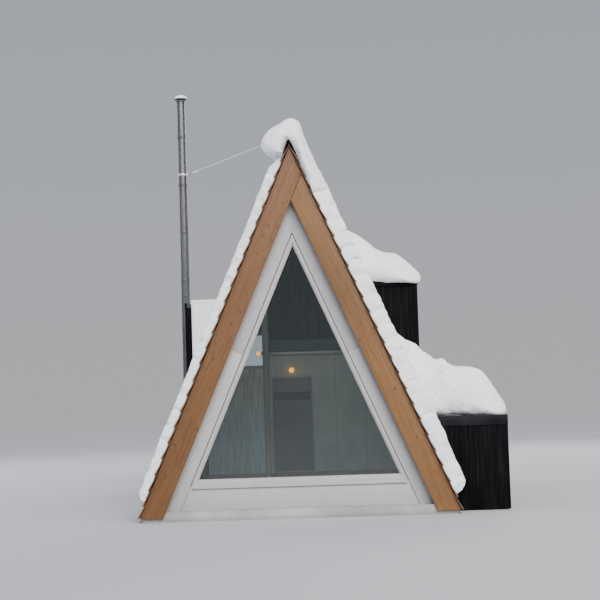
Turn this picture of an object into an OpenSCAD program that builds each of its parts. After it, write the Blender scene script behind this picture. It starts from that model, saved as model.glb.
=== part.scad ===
// A-frame cabin with two flat-roofed dormers, a low side store, a flue and lying snow.
// Millimetres. X runs to the right and Y to the back, seen from the glazed front gable.
// The origin is on the ground, at the middle of the house's plan.

/* [Roof] */
// Height of the roof deck's peak above the ground
ridge_z = 5600; // [5200:10:5900]
// Angle between each slope and the vertical, in degrees
slope_angle = 23.4; // [22.5:0.1:25]
// Length of the roof over both bargeboards
roof_length = 8400; // [8000:50:9200]
// Thickness of a roof panel, with its deck, rafters and lining
roof_t = 240; // [200:5:280]
// Length of each shingle course that is left showing
shingle_exposure = 254; // [180:2:320]
// Thickness of a shingle course at its butt end
shingle_butt = 42; // [28:1:60]
// Thickness of a shingle course where the next one covers it
shingle_head = 14; // [6:1:22]
// Reach of the shingles past the bargeboards
shingle_overhang = 35; // [15:1:60]
// Height of the lowest shingle edge above the ground
shingle_foot = 60; // [30:1:120]
// Length of each ridge board down its slope
ridge_board_w = 130; // [90:1:180]
// Thickness of the ridge boards
ridge_board_t = 20; // [12:1:30]
// Gap left between slanted faces that lie on one another
seat_gap = 0.1; // [0.1:0.1:0.5]

/* [Gable trim] */
// Width of a bargeboard, square to the slope
barge_w = 320; // [285:1:330]
// Thickness of a bargeboard
barge_t = 45; // [30:1:60]
// Height of the bargeboards' feet above the ground
barge_foot = 60; // [30:1:140]
// Width of the painted trim that shows inside the bargeboard
trim_show = 188; // [150:1:230]
// Thickness of the painted trim boards
trim_t = 25; // [15:1:35]
// Distance from the front bargeboards' face back to the trim's face
front_recess = 180; // [120:1:260]
// Distance down the slope from the peak to the joint in each trim board
trim_joint_u = 3180; // [2900:10:3600]
// Open joint between an upper and a lower trim board
trim_joint_gap = 3; // [2:0.5:6]

/* [Walls and floor] */
// Thickness of the concrete foundation
slab_t = 150; // [120:5:200]
// Thickness of the boarded floor
floor_t = 100; // [60:5:140]
// Thickness of the framed wall behind the front trim
front_wall_t = 140; // [100:5:200]
// Thickness of the back wall
back_wall_t = 150; // [120:5:200]
// Distance from the back bargeboards' face to the back wall's outer face
back_recess = 260; // [150:5:350]

/* [Front window] */
// Height of the front window's sill above the ground
sill_z = 520; // [420:5:700]
// Open reveal between the trim and the window frame
frame_gap = 10; // [6:1:16]
// Width of the sloping frame members
frame_w = 55; // [40:1:80]
// Height of the bottom rail
rail_h = 75; // [50:1:110]
// Depth of the window frame, front to back
frame_depth = 90; // [60:1:120]
// Distance from the trim's face back to the frame's face
frame_setback = 12; // [4:1:30]
// Thickness of the sealed glass unit
glass_t = 24; // [16:1:36]

/* [Dormers] */
// Distance from the centre plane to a dormer's outer face
dormer_out = 2070; // [2020:5:2150]
// Height of the right dormer's flat roof
right_dormer_top = 3800; // [3650:5:3950]
// Height of the left dormer's flat roof
left_dormer_top = 3630; // [3500:5:3750]
// Thickness of a dormer's walls
dormer_t = 150; // [120:5:180]
// Thickness of a dormer's roof
dormer_roof_t = 200; // [150:5:240]
// Distance from the front bargeboard to the right dormer's front face
right_dormer_set = 2950; // [2700:10:3200]
// Length of the right dormer, front to back
right_dormer_len = 2800; // [2400:10:3000]
// Distance from the front bargeboard to the left dormer's front face
left_dormer_set = 5300; // [5100:10:5500]

/* [Back window] */
// Height of the back window's sill above the ground
back_sill_z = 2400; // [2300:5:2500]
// Height of the back window's head above the ground
back_head_z = 3170; // [3050:5:3250]
// Width of the back window's frame members
back_frame_w = 60; // [40:1:80]

/* [Door] */
// Width of the doorway
door_w = 910; // [860:5:960]
// Distance of the doorway's middle from the centre plane, to the right
door_x = -160; // [-200:5:-120]
// Height of the doorway's head above the ground
door_head_z = 2250; // [2200:5:2320]
// Thickness of the door frame's jambs and head
jamb_t = 50; // [35:1:60]
// Width of the stop that the door closes on
stop_w = 15; // [10:1:20]
// Thickness of the door leaf
leaf_t = 50; // [40:1:60]
// Clearance round the door leaf
leaf_gap = 5; // [5:0.5:8]
// Rise of the threshold above the floor
threshold_rise = 15; // [10:1:25]
// Depth that the leaf's face lies back from the wall's inner face
leaf_setback = 5; // [5:0.5:10]
// Radius of a hinge pin
pin_r = 5; // [4:0.5:6]
// Radius of a hinge knuckle
knuckle_r = 9; // [8:0.5:10]
// Running clearance between a hinge pin and its knuckle
pin_gap = 0.3; // [0.2:0.1:0.5]
// Height of one hinge
hinge_h = 120; // [90:5:160]
// Length of the door lever
lever_len = 115; // [90:1:140]
// Height of the door lever above the floor
lever_z = 1000; // [900:10:1100]
// Height of the sunk band in the leaf above the floor
band_rise = 1490; // [1300:10:1600]
// Height of the sunk band
band_h = 170; // [120:5:220]

/* [Loft] */
// Height of the loft floor's underside above the ground
loft_z = 2650; // [2560:5:2750]
// Thickness of the loft floor
loft_t = 180; // [140:5:220]
// Distance from the front bargeboard to the loft's front edge
loft_set = 4160; // [4000:10:4400]
// Distance from the centre plane to the loft's left edge
loft_left = 520; // [470:5:600]
// Thickness of the beam along the loft's front edge
beam_t = 60; // [45:1:90]
// Reach of the beam below the loft floor
beam_drop = 25; // [10:1:80]
// Side of the square post
post_w = 110; // [90:1:140]
// Radius of the glass globe over the door
globe_r = 55; // [45:1:65]
// Height of that globe's middle above the doorway's head
lamp_rise = 105; // [90:5:150]
// Radius of the glass globe on the post
small_globe_r = 42; // [35:1:50]

/* [Store] */
// Distance from the centre plane to the store's outer face
store_out = 3185; // [3000:10:3500]
// Height of the store's flat roof
store_top = 1445; // [1350:5:1600]
// Thickness of the store's roof
store_roof_t = 120; // [90:5:160]
// Thickness of the store's walls
store_wall_t = 100; // [60:5:140]
// Reach of the store's roof past its walls
store_eave = 20; // [10:1:60]
// Distance from the front bargeboard to the store's front face
store_set = 520; // [400:10:800]
// Length of the store past the right dormer
store_past = 400; // [300:10:600]

/* [Flue] */
// Outer diameter of the flue pipe
flue_d = 170; // [150:2:200]
// Height of the flue pipe's top above the ground
flue_top = 7800; // [7400:10:8200]
// Height of the flue pipe's lower end above the ground
flue_foot = 1750; // [1550:10:1900]
// Gap between the pipe and the dormer's wall
flue_gap = 60; // [40:1:100]
// Distance from the left dormer's front face back to the flue's axis
flue_set = 1500; // [1200:10:1800]
// Diameter of the flue's rain cap
flue_cap_d = 270; // [230:5:320]
// Diameter of the guy rod
rod_d = 25; // [18:1:34]
// Height of the guy rod's collar on the flue
collar_z = 6300; // [6100:10:6600]
// Height of the ridge eye above the roof deck's peak
eye_rise = 300; // [230:5:320]
// Distance from the front bargeboard to the ridge eye
eye_set = 600; // [500:10:900]

/* [Snow] */
// Height of the snow over the roof deck's peak
ridge_snow_h = 430; // [380:5:500]
// Reach of the ridge snow past the front shingles
ridge_snow_reach = 105; // [60:5:160]
// Length down the right slope where the ridge snow ends
ridge_snow_u = 620; // [500:10:800]
// Thickness of the snow on the right slope
right_snow_t = 215; // [160:5:260]
// Thickness of the snow on the left slope
left_snow_t = 115; // [80:5:160]
// Length down the left slope where its snow starts
left_snow_u = 300; // [240:10:400]
// Height of the snow's lower edge above the ground
snow_foot = 350; // [250:10:500]
// Depth of the snow on the right dormer
dormer_snow_h = 450; // [380:5:520]
// Reach of the snow past the right dormer's front face
dormer_snow_reach = 85; // [50:5:120]
// Thickness of the snow plastered on the left dormer
plaster_t = 60; // [40:5:100]
// Width of bare wall left beside the plastered snow
plaster_margin = 80; // [50:5:130]
// Depth of the snow heaped on the store's roof
store_snow_h = 700; // [600:10:800]

/* [Hidden] */
$fn = 48;

fir = "#b98450";
paint = "#d9d8d4";
dark = "#1d1c20";
shake = "#4b4038";
snow = "#f1f3f7";
metal = "#a9abad";
pale = "#c9c4b6";

// Stations along Y, from the front bargeboards' face to the back ones'
front_y = -roof_length / 2;
back_y = roof_length / 2;
deck_y0 = front_y + barge_t;
deck_y1 = back_y - barge_t;
trim_y0 = front_y + front_recess;
wall_y0 = trim_y0 + trim_t;
wall_y1 = wall_y0 + front_wall_t;
back_out = back_y - back_recess;
back_in = back_out - back_wall_t;
rd_y0 = front_y + right_dormer_set;
rd_y1 = rd_y0 + right_dormer_len;
ld_y0 = front_y + left_dormer_set;
loft_y = front_y + loft_set;
store_y0 = front_y + store_set;
store_y1 = rd_y1 + store_past;
eye_y = front_y + eye_set;

// Heights
floor_z = slab_t + floor_t;
right_under = right_dormer_top - dormer_roof_t;
left_under = left_dormer_top - dormer_roof_t;
store_under = store_top - store_roof_t;

// Depths of the gable's layers, square to the slope from the deck's outer face
inner_d = roof_t + seat_gap;
trim_d = barge_w + trim_show;
frame_d = trim_d + frame_gap;
glass_d = frame_d + frame_w;

dormer_in = dormer_out - dormer_t;
door_l = door_x - door_w / 2;
door_r = door_x + door_w / 2;
bed_t = shingle_butt;
store_d = -bed_t - seat_gap;
ridge_t = shingle_butt + ridge_board_t;

// Half width of the deck's outer face at height z
function half_w(z) = (ridge_z - z) * tan(slope_angle);
// A thickness square to the slope, measured level
function level(d) = d / cos(slope_angle);
// Half width of a layer whose face lies d inside the deck's outer face
function layer_w(z, d) = half_w(z) - level(d);
// Height where that layer's face meets the centre plane
function peak_z(d) = ridge_z - d / sin(slope_angle);
// Height where that layer's face stands x from the centre plane
function slope_z(x, d) = ridge_z - (x + level(d)) / tan(slope_angle);
// A point u down the right slope from the peak and t out of the deck
function on_slope(u, t) = [
    u * sin(slope_angle) + t * cos(slope_angle),
    ridge_z - u * cos(slope_angle) + t * sin(slope_angle)];
function flip(p) = [-p[0], p[1]];

// An XZ outline drawn out along Y
module along_y(y0, y1) {
    translate([0, y1, 0]) rotate([90, 0, 0]) linear_extrude(y1 - y0) children();
}

// A box given by its lowest and highest corners
module block(lo, hi) {
    translate(lo) cube(hi - lo);
}

// side is 1 for the right slope and -1 for the left
module on_side(side) {
    if (side < 0) mirror([1, 0, 0]) children();
    else children();
}

// The slice of one slope between depths d0 and d1, from height z up to the centre plane
module slope_band(d0, d1, z) {
    polygon([[layer_w(z, d0), z], [layer_w(z, d1), z], [0, peak_z(d1)], [0, peak_z(d0)]]);
}

// Foundation and floor

module foundation() {
    w = half_w(slab_t);
    color("#8d8b86") difference() {
        block([-w, deck_y0, 0], [w, deck_y1, slab_t]);
        block([dormer_out, rd_y0 + dormer_t, -1], [w + 1, rd_y1 - dormer_t, slab_t + 1]);
        block([-w - 1, ld_y0 + dormer_t, -1], [-dormer_out, deck_y1 + 1, slab_t + 1]);
    }
}

module floor_boards() {
    lower = layer_w(slab_t, inner_d);
    upper = layer_w(floor_z, inner_d);
    color("#a88f6d") difference() {
        along_y(wall_y1, back_in)
            polygon([[-lower, slab_t], [lower, slab_t], [upper, floor_z], [-upper, floor_z]]);
        block([dormer_in, rd_y0 + dormer_t, slab_t - 1],
            [dormer_out + lower, rd_y1 - dormer_t, floor_z + 1]);
        block([-dormer_out - lower, ld_y0 + dormer_t, slab_t - 1],
            [-dormer_in, back_in + 1, floor_z + 1]);
    }
}

// Roof panels, shingles and ridge

module roof_panel(side, y0, y1, z) {
    color("#8a7a63") on_side(side) along_y(y0, y1) slope_band(0, roof_t, z);
}

module roof_left_front() { roof_panel(-1, deck_y0, ld_y0 + dormer_t, slab_t); }
module roof_left_top() { roof_panel(-1, ld_y0 + dormer_t, deck_y1, left_under); }
module roof_right_front() { roof_panel(1, deck_y0, rd_y0 + dormer_t, slab_t); }
module roof_right_top() { roof_panel(1, rd_y0 + dormer_t, rd_y1 - dormer_t, right_under); }
module roof_right_back() { roof_panel(1, rd_y1 - dormer_t, deck_y1, slab_t); }

// Stepped shingle courses, counted down from the peak to height z
module courses(z) {
    u_end = (ridge_z - z) / cos(slope_angle);
    count = ceil(u_end / shingle_exposure);
    polygon(concat(
        [on_slope(0, seat_gap)],
        [for (i = [0:count - 1], low = [0, 1])
            let (u = min((i + low) * shingle_exposure, u_end),
                share = u / shingle_exposure - i)
            on_slope(u, shingle_head + share * (shingle_butt - shingle_head))],
        [on_slope(u_end, seat_gap)]));
}

module shingles_left() {
    color(shake) on_side(-1) {
        along_y(front_y - shingle_overhang, ld_y0) courses(shingle_foot);
        along_y(ld_y0 - 1, back_y + shingle_overhang) courses(left_dormer_top);
    }
}

module shingles_right() {
    color(shake) {
        along_y(front_y - shingle_overhang, rd_y0) courses(shingle_foot);
        along_y(rd_y0 - 1, rd_y1 + 1) courses(right_dormer_top);
        along_y(rd_y1, back_y + shingle_overhang) courses(shingle_foot);
    }
}

// Height of the flat on top of the ridge boards, and its half width
ridge_flat_z = peak_z(-bed_t) + ridge_board_t;
ridge_flat_w = layer_w(ridge_flat_z, -ridge_t);

module ridge_boards() {
    right = [[ridge_flat_w, ridge_flat_z], on_slope(ridge_board_w, ridge_t),
        on_slope(ridge_board_w, bed_t)];
    color("#3b2f28") along_y(front_y - shingle_overhang, back_y + shingle_overhang)
        polygon(concat(right, [[0, peak_z(-bed_t)]],
            [for (i = [len(right) - 1:-1:0]) flip(right[i])]));
}

// Bargeboards: the left board runs through at the peak and the right one butts under it

module barge_through(z) {
    half = level(barge_w) / 2;
    polygon([[half_w(z), z], [layer_w(z, barge_w), z],
        [-half, ridge_z - half / tan(slope_angle)], [0, ridge_z]]);
}

module barge_butt(z) {
    half = level(barge_w) / 2;
    polygon([[half_w(z), z], [half, ridge_z - half / tan(slope_angle)],
        [0, peak_z(barge_w)], [layer_w(z, barge_w), z]]);
}

module barge_front_left() {
    color(fir) on_side(-1) along_y(front_y, deck_y0) barge_through(barge_foot);
}
module barge_front_right() {
    color(fir) along_y(front_y, deck_y0) barge_butt(barge_foot);
}
module barge_back_left() {
    color(fir) on_side(-1) along_y(deck_y1, back_y) barge_butt(left_under);
}
module barge_back_right() {
    color(fir) along_y(deck_y1, back_y) barge_through(barge_foot);
}

// Painted trim on the front gable

module trim_upper(side) {
    u = trim_joint_u - trim_joint_gap / 2;
    color(paint) on_side(side) along_y(trim_y0, wall_y0)
        polygon([on_slope(u, -inner_d), on_slope(u, -trim_d), [0, peak_z(trim_d)], [0, peak_z(inner_d)]]);
}

module trim_lower(side) {
    u = trim_joint_u + trim_joint_gap / 2;
    color(paint) on_side(side) along_y(trim_y0, wall_y0)
        polygon([[layer_w(slab_t, inner_d), slab_t], [layer_w(slab_t, trim_d), slab_t],
            on_slope(u, -trim_d), on_slope(u, -inner_d)]);
}

module trim_left_upper() { trim_upper(-1); }
module trim_left_lower() { trim_lower(-1); }
module trim_right_upper() { trim_upper(1); }
module trim_right_lower() { trim_lower(1); }

// Front gable wall and its window

module front_wall(side) {
    color(pale) on_side(side) along_y(wall_y0, wall_y1) slope_band(inner_d, frame_d, slab_t);
}
module front_wall_left() { front_wall(-1); }
module front_wall_right() { front_wall(1); }

module front_wall_base() {
    d = frame_d + seat_gap;
    lower = layer_w(slab_t, d);
    upper = layer_w(sill_z, d);
    color(paint) along_y(trim_y0, wall_y1)
        polygon([[-lower, slab_t], [lower, slab_t], [upper, sill_z], [-upper, sill_z]]);
}

// Triangle inside the layer at depth d, above height z
module gable_triangle(d, z) {
    polygon([[-layer_w(z, d), z], [layer_w(z, d), z], [0, peak_z(d)]]);
}

frame_y0 = trim_y0 + frame_setback;
glass_y0 = frame_y0 + (frame_depth - glass_t) / 2;

module front_window_frame() {
    color(paint) along_y(frame_y0, frame_y0 + frame_depth) difference() {
        gable_triangle(frame_d + seat_gap, sill_z);
        gable_triangle(glass_d, sill_z + rail_h);
    }
}

module front_glass() {
    color("#7f97a8", 0.45) along_y(glass_y0, glass_y0 + glass_t)
        gable_triangle(glass_d + seat_gap, sill_z + rail_h);
}

// Back wall, which closes the gable and the left dormer in one plane

module back_wall_left() {
    color(pale) block([-dormer_in, back_in, slab_t], [door_l, back_out, back_sill_z]);
}

module back_wall_right() {
    color(pale) along_y(back_in, back_out)
        polygon([[door_r, slab_t], [layer_w(slab_t, inner_d), slab_t],
            [layer_w(door_head_z, inner_d), door_head_z], [door_r, door_head_z]]);
}

module back_wall_upper() {
    color(pale) along_y(back_in, back_out)
        polygon([[door_l, door_head_z], [layer_w(door_head_z, inner_d), door_head_z],
            [0, peak_z(inner_d)], [door_l, slope_z(-door_l, inner_d)]]);
}

module back_wall_head() {
    color(pale) along_y(back_in, back_out)
        polygon([[-dormer_in, back_head_z], [door_l, back_head_z], [door_l, slope_z(-door_l, inner_d)],
            [-layer_w(left_under, inner_d), left_under], [-dormer_in, left_under]]);
}

back_frame_y0 = back_in + (back_wall_t - frame_depth) / 2;
back_glass_y0 = back_frame_y0 + (frame_depth - glass_t) / 2;

module back_window_frame() {
    w = back_frame_w;
    color(paint) difference() {
        block([-dormer_in, back_frame_y0, back_sill_z],
            [door_l, back_frame_y0 + frame_depth, back_head_z]);
        block([-dormer_in + w, back_frame_y0 - 1, back_sill_z + w],
            [door_l - w, back_frame_y0 + frame_depth + 1, back_head_z - w]);
    }
}

module back_glass() {
    w = back_frame_w;
    color("#7f97a8", 0.45) block([-dormer_in + w, back_glass_y0, back_sill_z + w],
        [door_l - w, back_glass_y0 + glass_t, back_head_z - w]);
}

// Entrance door: it opens inwards on hinges at its right edge, seen from the front

leaf_l = door_l + jamb_t + leaf_gap;
leaf_r = door_r - jamb_t - leaf_gap;
leaf_y0 = back_in + leaf_setback;
leaf_y1 = leaf_y0 + leaf_t;
threshold_z = floor_z + threshold_rise;
leaf_z0 = threshold_z + leaf_gap;
leaf_z1 = door_head_z - jamb_t - leaf_gap;
hinge_x = leaf_r + leaf_gap / 2;
hinge_y = back_in - knuckle_r - 1;
hinge_zs = [for (share = [0.1, 0.5, 0.9]) leaf_z0 + share * (leaf_z1 - leaf_z0)];
plate_w = 36;
plate_t = 4;
band_z = floor_z + band_rise;
band_depth = 4;

module door_frame() {
    color(paint) difference() {
        block([door_l, back_in, slab_t], [door_r, back_out, door_head_z]);
        block([door_l + jamb_t, back_in - 1, threshold_z],
            [door_r - jamb_t, leaf_y1 + leaf_gap, door_head_z - jamb_t]);
        block([door_l + jamb_t + stop_w, back_in - 1, threshold_z],
            [door_r - jamb_t - stop_w, back_out + 1, door_head_z - jamb_t - stop_w]);
    }
}

// The leaf has one shallow sunk band across each face
module door_leaf() {
    inset = 60;
    color("#8d9090") difference() {
        block([leaf_l, leaf_y0, leaf_z0], [leaf_r, leaf_y1, leaf_z1]);
        for (y = [leaf_y0 - 1, leaf_y1 - band_depth])
            block([leaf_l + inset, y, band_z], [leaf_r - inset, y + band_depth + 1, band_z + band_h]);
    }
}

module lever_set(y, out) {
    rose_r = 26;
    rose_t = 8;
    neck = 45;
    x = leaf_l + 60;
    z = floor_z + lever_z;
    translate([x, y, z]) rotate([out * -90, 0, 0]) {
        cylinder(r = rose_r, h = rose_t);
        cylinder(r = rose_r / 3, h = neck);
    }
    translate([x, y + out * neck, z]) rotate([0, 90, 0]) cylinder(r = rose_r / 3, h = lever_len);
}

module door_handle() {
    color(metal) {
        lever_set(leaf_y0, -1);
        lever_set(leaf_y1, 1);
    }
}

// Each hinge has an outer knuckle at both ends, fixed to the frame, and one between on the leaf
module hinge_pins() {
    third = hinge_h / 3;
    color(metal) for (z = hinge_zs) {
        translate([hinge_x, hinge_y, z - hinge_h / 2]) {
            cylinder(r = pin_r, h = hinge_h);
            for (k = [0, 2]) translate([0, 0, k * third]) cylinder(r = knuckle_r, h = third);
        }
        for (k = [0, 2])
            block([hinge_x, back_in - plate_t, z - hinge_h / 2 + k * third],
                [hinge_x + plate_w, back_in, z - hinge_h / 2 + (k + 1) * third]);
    }
}

module hinge_knuckles() {
    third = hinge_h / 3;
    h = third - 1;
    color(metal) for (z = hinge_zs) difference() {
        union() {
            translate([hinge_x, hinge_y, z - h / 2]) cylinder(r = knuckle_r, h = h);
            block([hinge_x - plate_w, leaf_y0 - plate_t, z - h / 2],
                [hinge_x - leaf_gap / 2 - 1, leaf_y0, z + h / 2]);
            block([hinge_x - knuckle_r, hinge_y, z - h / 2],
                [hinge_x - leaf_gap / 2 - 1, leaf_y0, z + h / 2]);
        }
        translate([hinge_x, hinge_y, z - h]) cylinder(r = pin_r + pin_gap, h = 2 * h);
    }
}

// Loft, post and lamps

loft_top = loft_z + loft_t;
post_y0 = loft_y - beam_t;

module loft_floor() {
    color("#8f7a5c") union() {
        block([-loft_left, loft_y, loft_z], [dormer_in, rd_y1 - dormer_t, loft_top]);
        along_y(rd_y1 - dormer_t, back_in)
            polygon([[-loft_left, loft_z], [layer_w(loft_z, inner_d), loft_z],
                [layer_w(loft_top, inner_d), loft_top], [-loft_left, loft_top]]);
    }
}

module loft_beam() {
    color(fir) block([-loft_left, post_y0, loft_z - beam_drop], [dormer_in, loft_y, loft_top]);
}

module loft_post() {
    color(fir) along_y(post_y0, post_y0 + post_w)
        polygon([[-loft_left, floor_z], [-loft_left, slope_z(loft_left, inner_d)],
            [-loft_left - post_w, slope_z(loft_left + post_w, inner_d)], [-loft_left - post_w, floor_z]]);
}

// A globe held off a face on a plate and a short stem
module globe_lamp(r, reach) {
    plate = r * 0.8;
    cylinder(r = plate, h = 12);
    cylinder(r = r / 5, h = reach);
    translate([0, 0, reach]) sphere(r = r);
}

module lamps() {
    color("#ffd9a0") {
        translate([door_x, back_in, door_head_z + lamp_rise])
            rotate([90, 0, 0]) globe_lamp(globe_r, globe_r * 1.7);
        translate([-loft_left - post_w, post_y0 + post_w / 2, loft_z - small_globe_r])
            rotate([0, -90, 0]) globe_lamp(small_globe_r, small_globe_r * 1.7);
    }
}

// Dormers

// End wall: the part of the dormer's side that stands outside the main slope
module dormer_end(under) {
    polygon([[dormer_out, slope_z(dormer_out, -seat_gap)], [dormer_out, under],
        [layer_w(under, -seat_gap), under]]);
}

module dormer_roof_outline(under) {
    top = under + dormer_roof_t;
    polygon([[layer_w(under, -seat_gap), under], [dormer_out, under],
        [dormer_out, top], [layer_w(top, -seat_gap), top]]);
}

module right_dormer_front() {
    color(dark) along_y(rd_y0, rd_y0 + dormer_t) dormer_end(right_under);
}
module right_dormer_back() {
    color(dark) along_y(rd_y1 - dormer_t, rd_y1) dormer_end(right_under);
}
module right_dormer_side() {
    color(dark) block([dormer_in, rd_y0 + dormer_t, slab_t],
        [dormer_out, rd_y1 - dormer_t, right_under]);
}
module right_dormer_roof() {
    color(dark) along_y(rd_y0, rd_y1) dormer_roof_outline(right_under);
}
module left_dormer_front() {
    color(dark) on_side(-1) along_y(ld_y0, ld_y0 + dormer_t) dormer_end(left_under);
}
module left_dormer_side() {
    color(dark) block([-dormer_out, ld_y0 + dormer_t, slab_t], [-dormer_in, back_out, left_under]);
}
module left_dormer_roof() {
    color(dark) on_side(-1) along_y(ld_y0, back_out) dormer_roof_outline(left_under);
}

// Side store

module store_end(out) {
    polygon([[layer_w(0, store_d), 0], [out, 0], [out, store_under],
        [layer_w(store_under, store_d), store_under]]);
}

module store_walls() {
    color(dark) union() {
        along_y(store_y0, store_y0 + store_wall_t) store_end(store_out);
        along_y(store_y1 - store_wall_t, store_y1) store_end(store_out);
        block([store_out - store_wall_t, store_y0, 0], [store_out, store_y1, store_under]);
    }
}

module store_roof() {
    color(dark) difference() {
        along_y(store_y0 - store_eave, store_y1 + store_eave)
            polygon([[layer_w(store_under, store_d), store_under],
                [store_out + store_eave, store_under],
                [store_out + store_eave, store_top], [layer_w(store_top, store_d), store_top]]);
        block([0, rd_y0, 0], [dormer_out, rd_y1, right_dormer_top]);
    }
}

// Flue and guy rod

flue_r = flue_d / 2;
flue_x = -dormer_out - flue_gap - flue_r;
flue_y = ld_y0 + flue_set;
tee_z = flue_foot + 1.5 * flue_d;
strap_h = 40;
strap_t = 4;
eye_z = ridge_z + eye_rise;

module flue_pipe() {
    color(metal) {
        translate([flue_x, flue_y, flue_foot]) {
            cylinder(r = flue_r, h = flue_top - flue_foot);
            translate([0, 0, -0.15 * flue_d]) cylinder(r = flue_r * 0.9, h = 0.16 * flue_d);
        }
        translate([flue_x, flue_y, tee_z]) rotate([0, 90, 0])
            cylinder(r = flue_r * 0.85, h = -dormer_out - flue_x);
    }
}

module flue_cap() {
    cap_r = flue_cap_d / 2;
    stand = 0.35 * flue_d;
    leg = 8;
    color("#7c7e80") translate([flue_x, flue_y, flue_top]) {
        cylinder(r = flue_r * 1.12, h = stand / 4);
        for (turn = [0:90:270]) rotate([0, 0, turn])
            block([flue_r * 0.9, -leg / 2, 0], [flue_r * 0.9 + leg, leg / 2, stand]);
        translate([0, 0, stand]) cylinder(r1 = cap_r, r2 = cap_r * 0.35, h = 0.35 * flue_d);
    }
}

module wall_bracket(z) {
    arm = 30;
    translate([flue_x, flue_y, z]) difference() {
        union() {
            cylinder(r = flue_r + strap_t + pin_gap, h = strap_h);
            for (side = [-1, 1])
                block([0, side * (flue_r - arm / 2) - arm / 2, 0],
                    [-dormer_out - flue_x, side * (flue_r - arm / 2) + arm / 2, strap_h]);
        }
        translate([0, 0, -1]) cylinder(r = flue_r + pin_gap, h = strap_h + 2);
    }
}

module flue_brackets() {
    color("#6d6f71") for (share = [0.35, 0.85])
        wall_bracket(tee_z + share * (left_under - tee_z));
}

lug_w = 16;
lug_len = 42;
rod_a = [flue_x + flue_r + 0.7 * lug_len, flue_y, collar_z + strap_h / 2];
rod_b = [0, eye_y, eye_z];
eye_w = 40;
snow_gap = 1;

// A round bar from point a to point b
module bar(a, b, r) {
    v = b - a;
    translate(a) rotate([0, acos(v[2] / norm(v)), atan2(v[1], v[0])]) cylinder(r = r, h = norm(v));
}

module guy_rod() {
    color(metal) union() {
        difference() {
            union() {
                translate([flue_x, flue_y, collar_z])
                    cylinder(r = flue_r + strap_t + pin_gap, h = strap_h);
                block([flue_x + flue_r, flue_y - lug_w / 2, collar_z],
                    [flue_x + flue_r + lug_len, flue_y + lug_w / 2, collar_z + strap_h]);
            }
            translate([flue_x, flue_y, collar_z - 1]) cylinder(r = flue_r + pin_gap, h = strap_h + 2);
        }
        bar(rod_a, rod_b, rod_d / 2);
        translate([0, eye_y, 0]) block([-eye_w / 2, -eye_w / 2, ridge_flat_z],
            [eye_w / 2, eye_w / 2, eye_z + eye_w / 2]);
    }
}

// Snow

// A layer on the right slope from u down to height z, between t0 and t1 out of the deck
module slope_snow(u, z, t0, t1) {
    polygon([on_slope(u, t0), on_slope(u, t1), [layer_w(z, -t1), z], [layer_w(z, -t0), z]]);
}

right_snow = bed_t + right_snow_t;
left_snow = bed_t + left_snow_t;
snow_y0 = front_y - shingle_overhang;
snow_y1 = back_y + shingle_overhang;

// The ridge snow leans to the left in a lip, and runs out down the right slope
ridge_crown = [[0.58, 0.28], [0.37, 0.81], [0.26, 0.93], [0.05, 1], [-0.09, 0.98], [-0.28, 0.81],
    [-0.53, 0.65], [-0.81, 0.42], [-0.95, 0.16], [-0.84, -0.05], [-0.67, -0.21]];

module snow_ridge() {
    color(snow) difference() {
        along_y(snow_y0 - ridge_snow_reach, snow_y1)
            polygon(concat(
                [on_slope(ridge_snow_u, bed_t), on_slope(ridge_snow_u, right_snow)],
                [for (p = ridge_crown) [p[0] * ridge_snow_h, ridge_z + p[1] * ridge_snow_h]],
                [flip(on_slope(ridge_board_w, ridge_t)), [-ridge_flat_w, ridge_flat_z],
                    [ridge_flat_w, ridge_flat_z], on_slope(ridge_board_w, ridge_t),
                    on_slope(ridge_board_w, bed_t)]));
        clear = eye_w / 2 + snow_gap;
        block([-clear, eye_y - clear, ridge_z], [clear, eye_y + clear, eye_z + clear]);
        bar(rod_a, rod_b, rod_d / 2 + snow_gap);
    }
}

module snow_left() {
    color(snow) on_side(-1) {
        along_y(snow_y0, ld_y0) slope_snow(left_snow_u, snow_foot, bed_t, left_snow);
        along_y(ld_y0 - 1, snow_y1) slope_snow(left_snow_u, left_dormer_top, bed_t, left_snow);
    }
}

module snow_right() {
    over_store = [store_y0 - store_eave, store_y1 + store_eave];
    u = ridge_snow_u + seat_gap;
    color(snow) {
        along_y(snow_y0, over_store[0]) slope_snow(u, snow_foot, bed_t, right_snow);
        along_y(over_store[0] - 1, rd_y0) slope_snow(u, store_top, bed_t, right_snow);
        along_y(rd_y0 - 1, rd_y1 + 1) slope_snow(u, right_dormer_top, bed_t, right_snow);
        along_y(rd_y1, over_store[1] + 1) slope_snow(u, store_top, bed_t, right_snow);
        along_y(over_store[1], snow_y1) slope_snow(u, snow_foot, bed_t, right_snow);
    }
}

// Crown of the snow on the right dormer: shares of the roof's width and of the snow's depth
dormer_crown = [[1, 0.2], [0.95, 0.55], [0.84, 0.82], [0.66, 0.92], [0.4, 1], [0.15, 1.2]];

module snow_right_dormer() {
    d = -right_snow - seat_gap;
    inner = layer_w(right_dormer_top, d);
    width = dormer_out - inner;
    top = right_dormer_top + 1.25 * dormer_snow_h;
    color(snow) along_y(rd_y0 - dormer_snow_reach, rd_y1)
        polygon(concat([[inner, right_dormer_top], [dormer_out, right_dormer_top]],
            [for (p = dormer_crown)
                [inner + p[0] * width, right_dormer_top + p[1] * dormer_snow_h]],
            [[layer_w(top, d), top]]));
}

module snow_left_dormer() {
    outer = dormer_out - plaster_margin;
    top = left_dormer_top + plaster_t;
    d = -left_snow - seat_gap;
    color(snow) on_side(-1) {
        along_y(ld_y0 - plaster_t, ld_y0)
            polygon([[outer, slope_z(outer, d)], [outer, top], [layer_w(top, d), top]]);
        along_y(ld_y0 - 1, back_out)
            polygon([[layer_w(left_dormer_top, d), left_dormer_top], [outer, left_dormer_top],
                [outer, top], [layer_w(top, d), top]]);
    }
}

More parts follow.
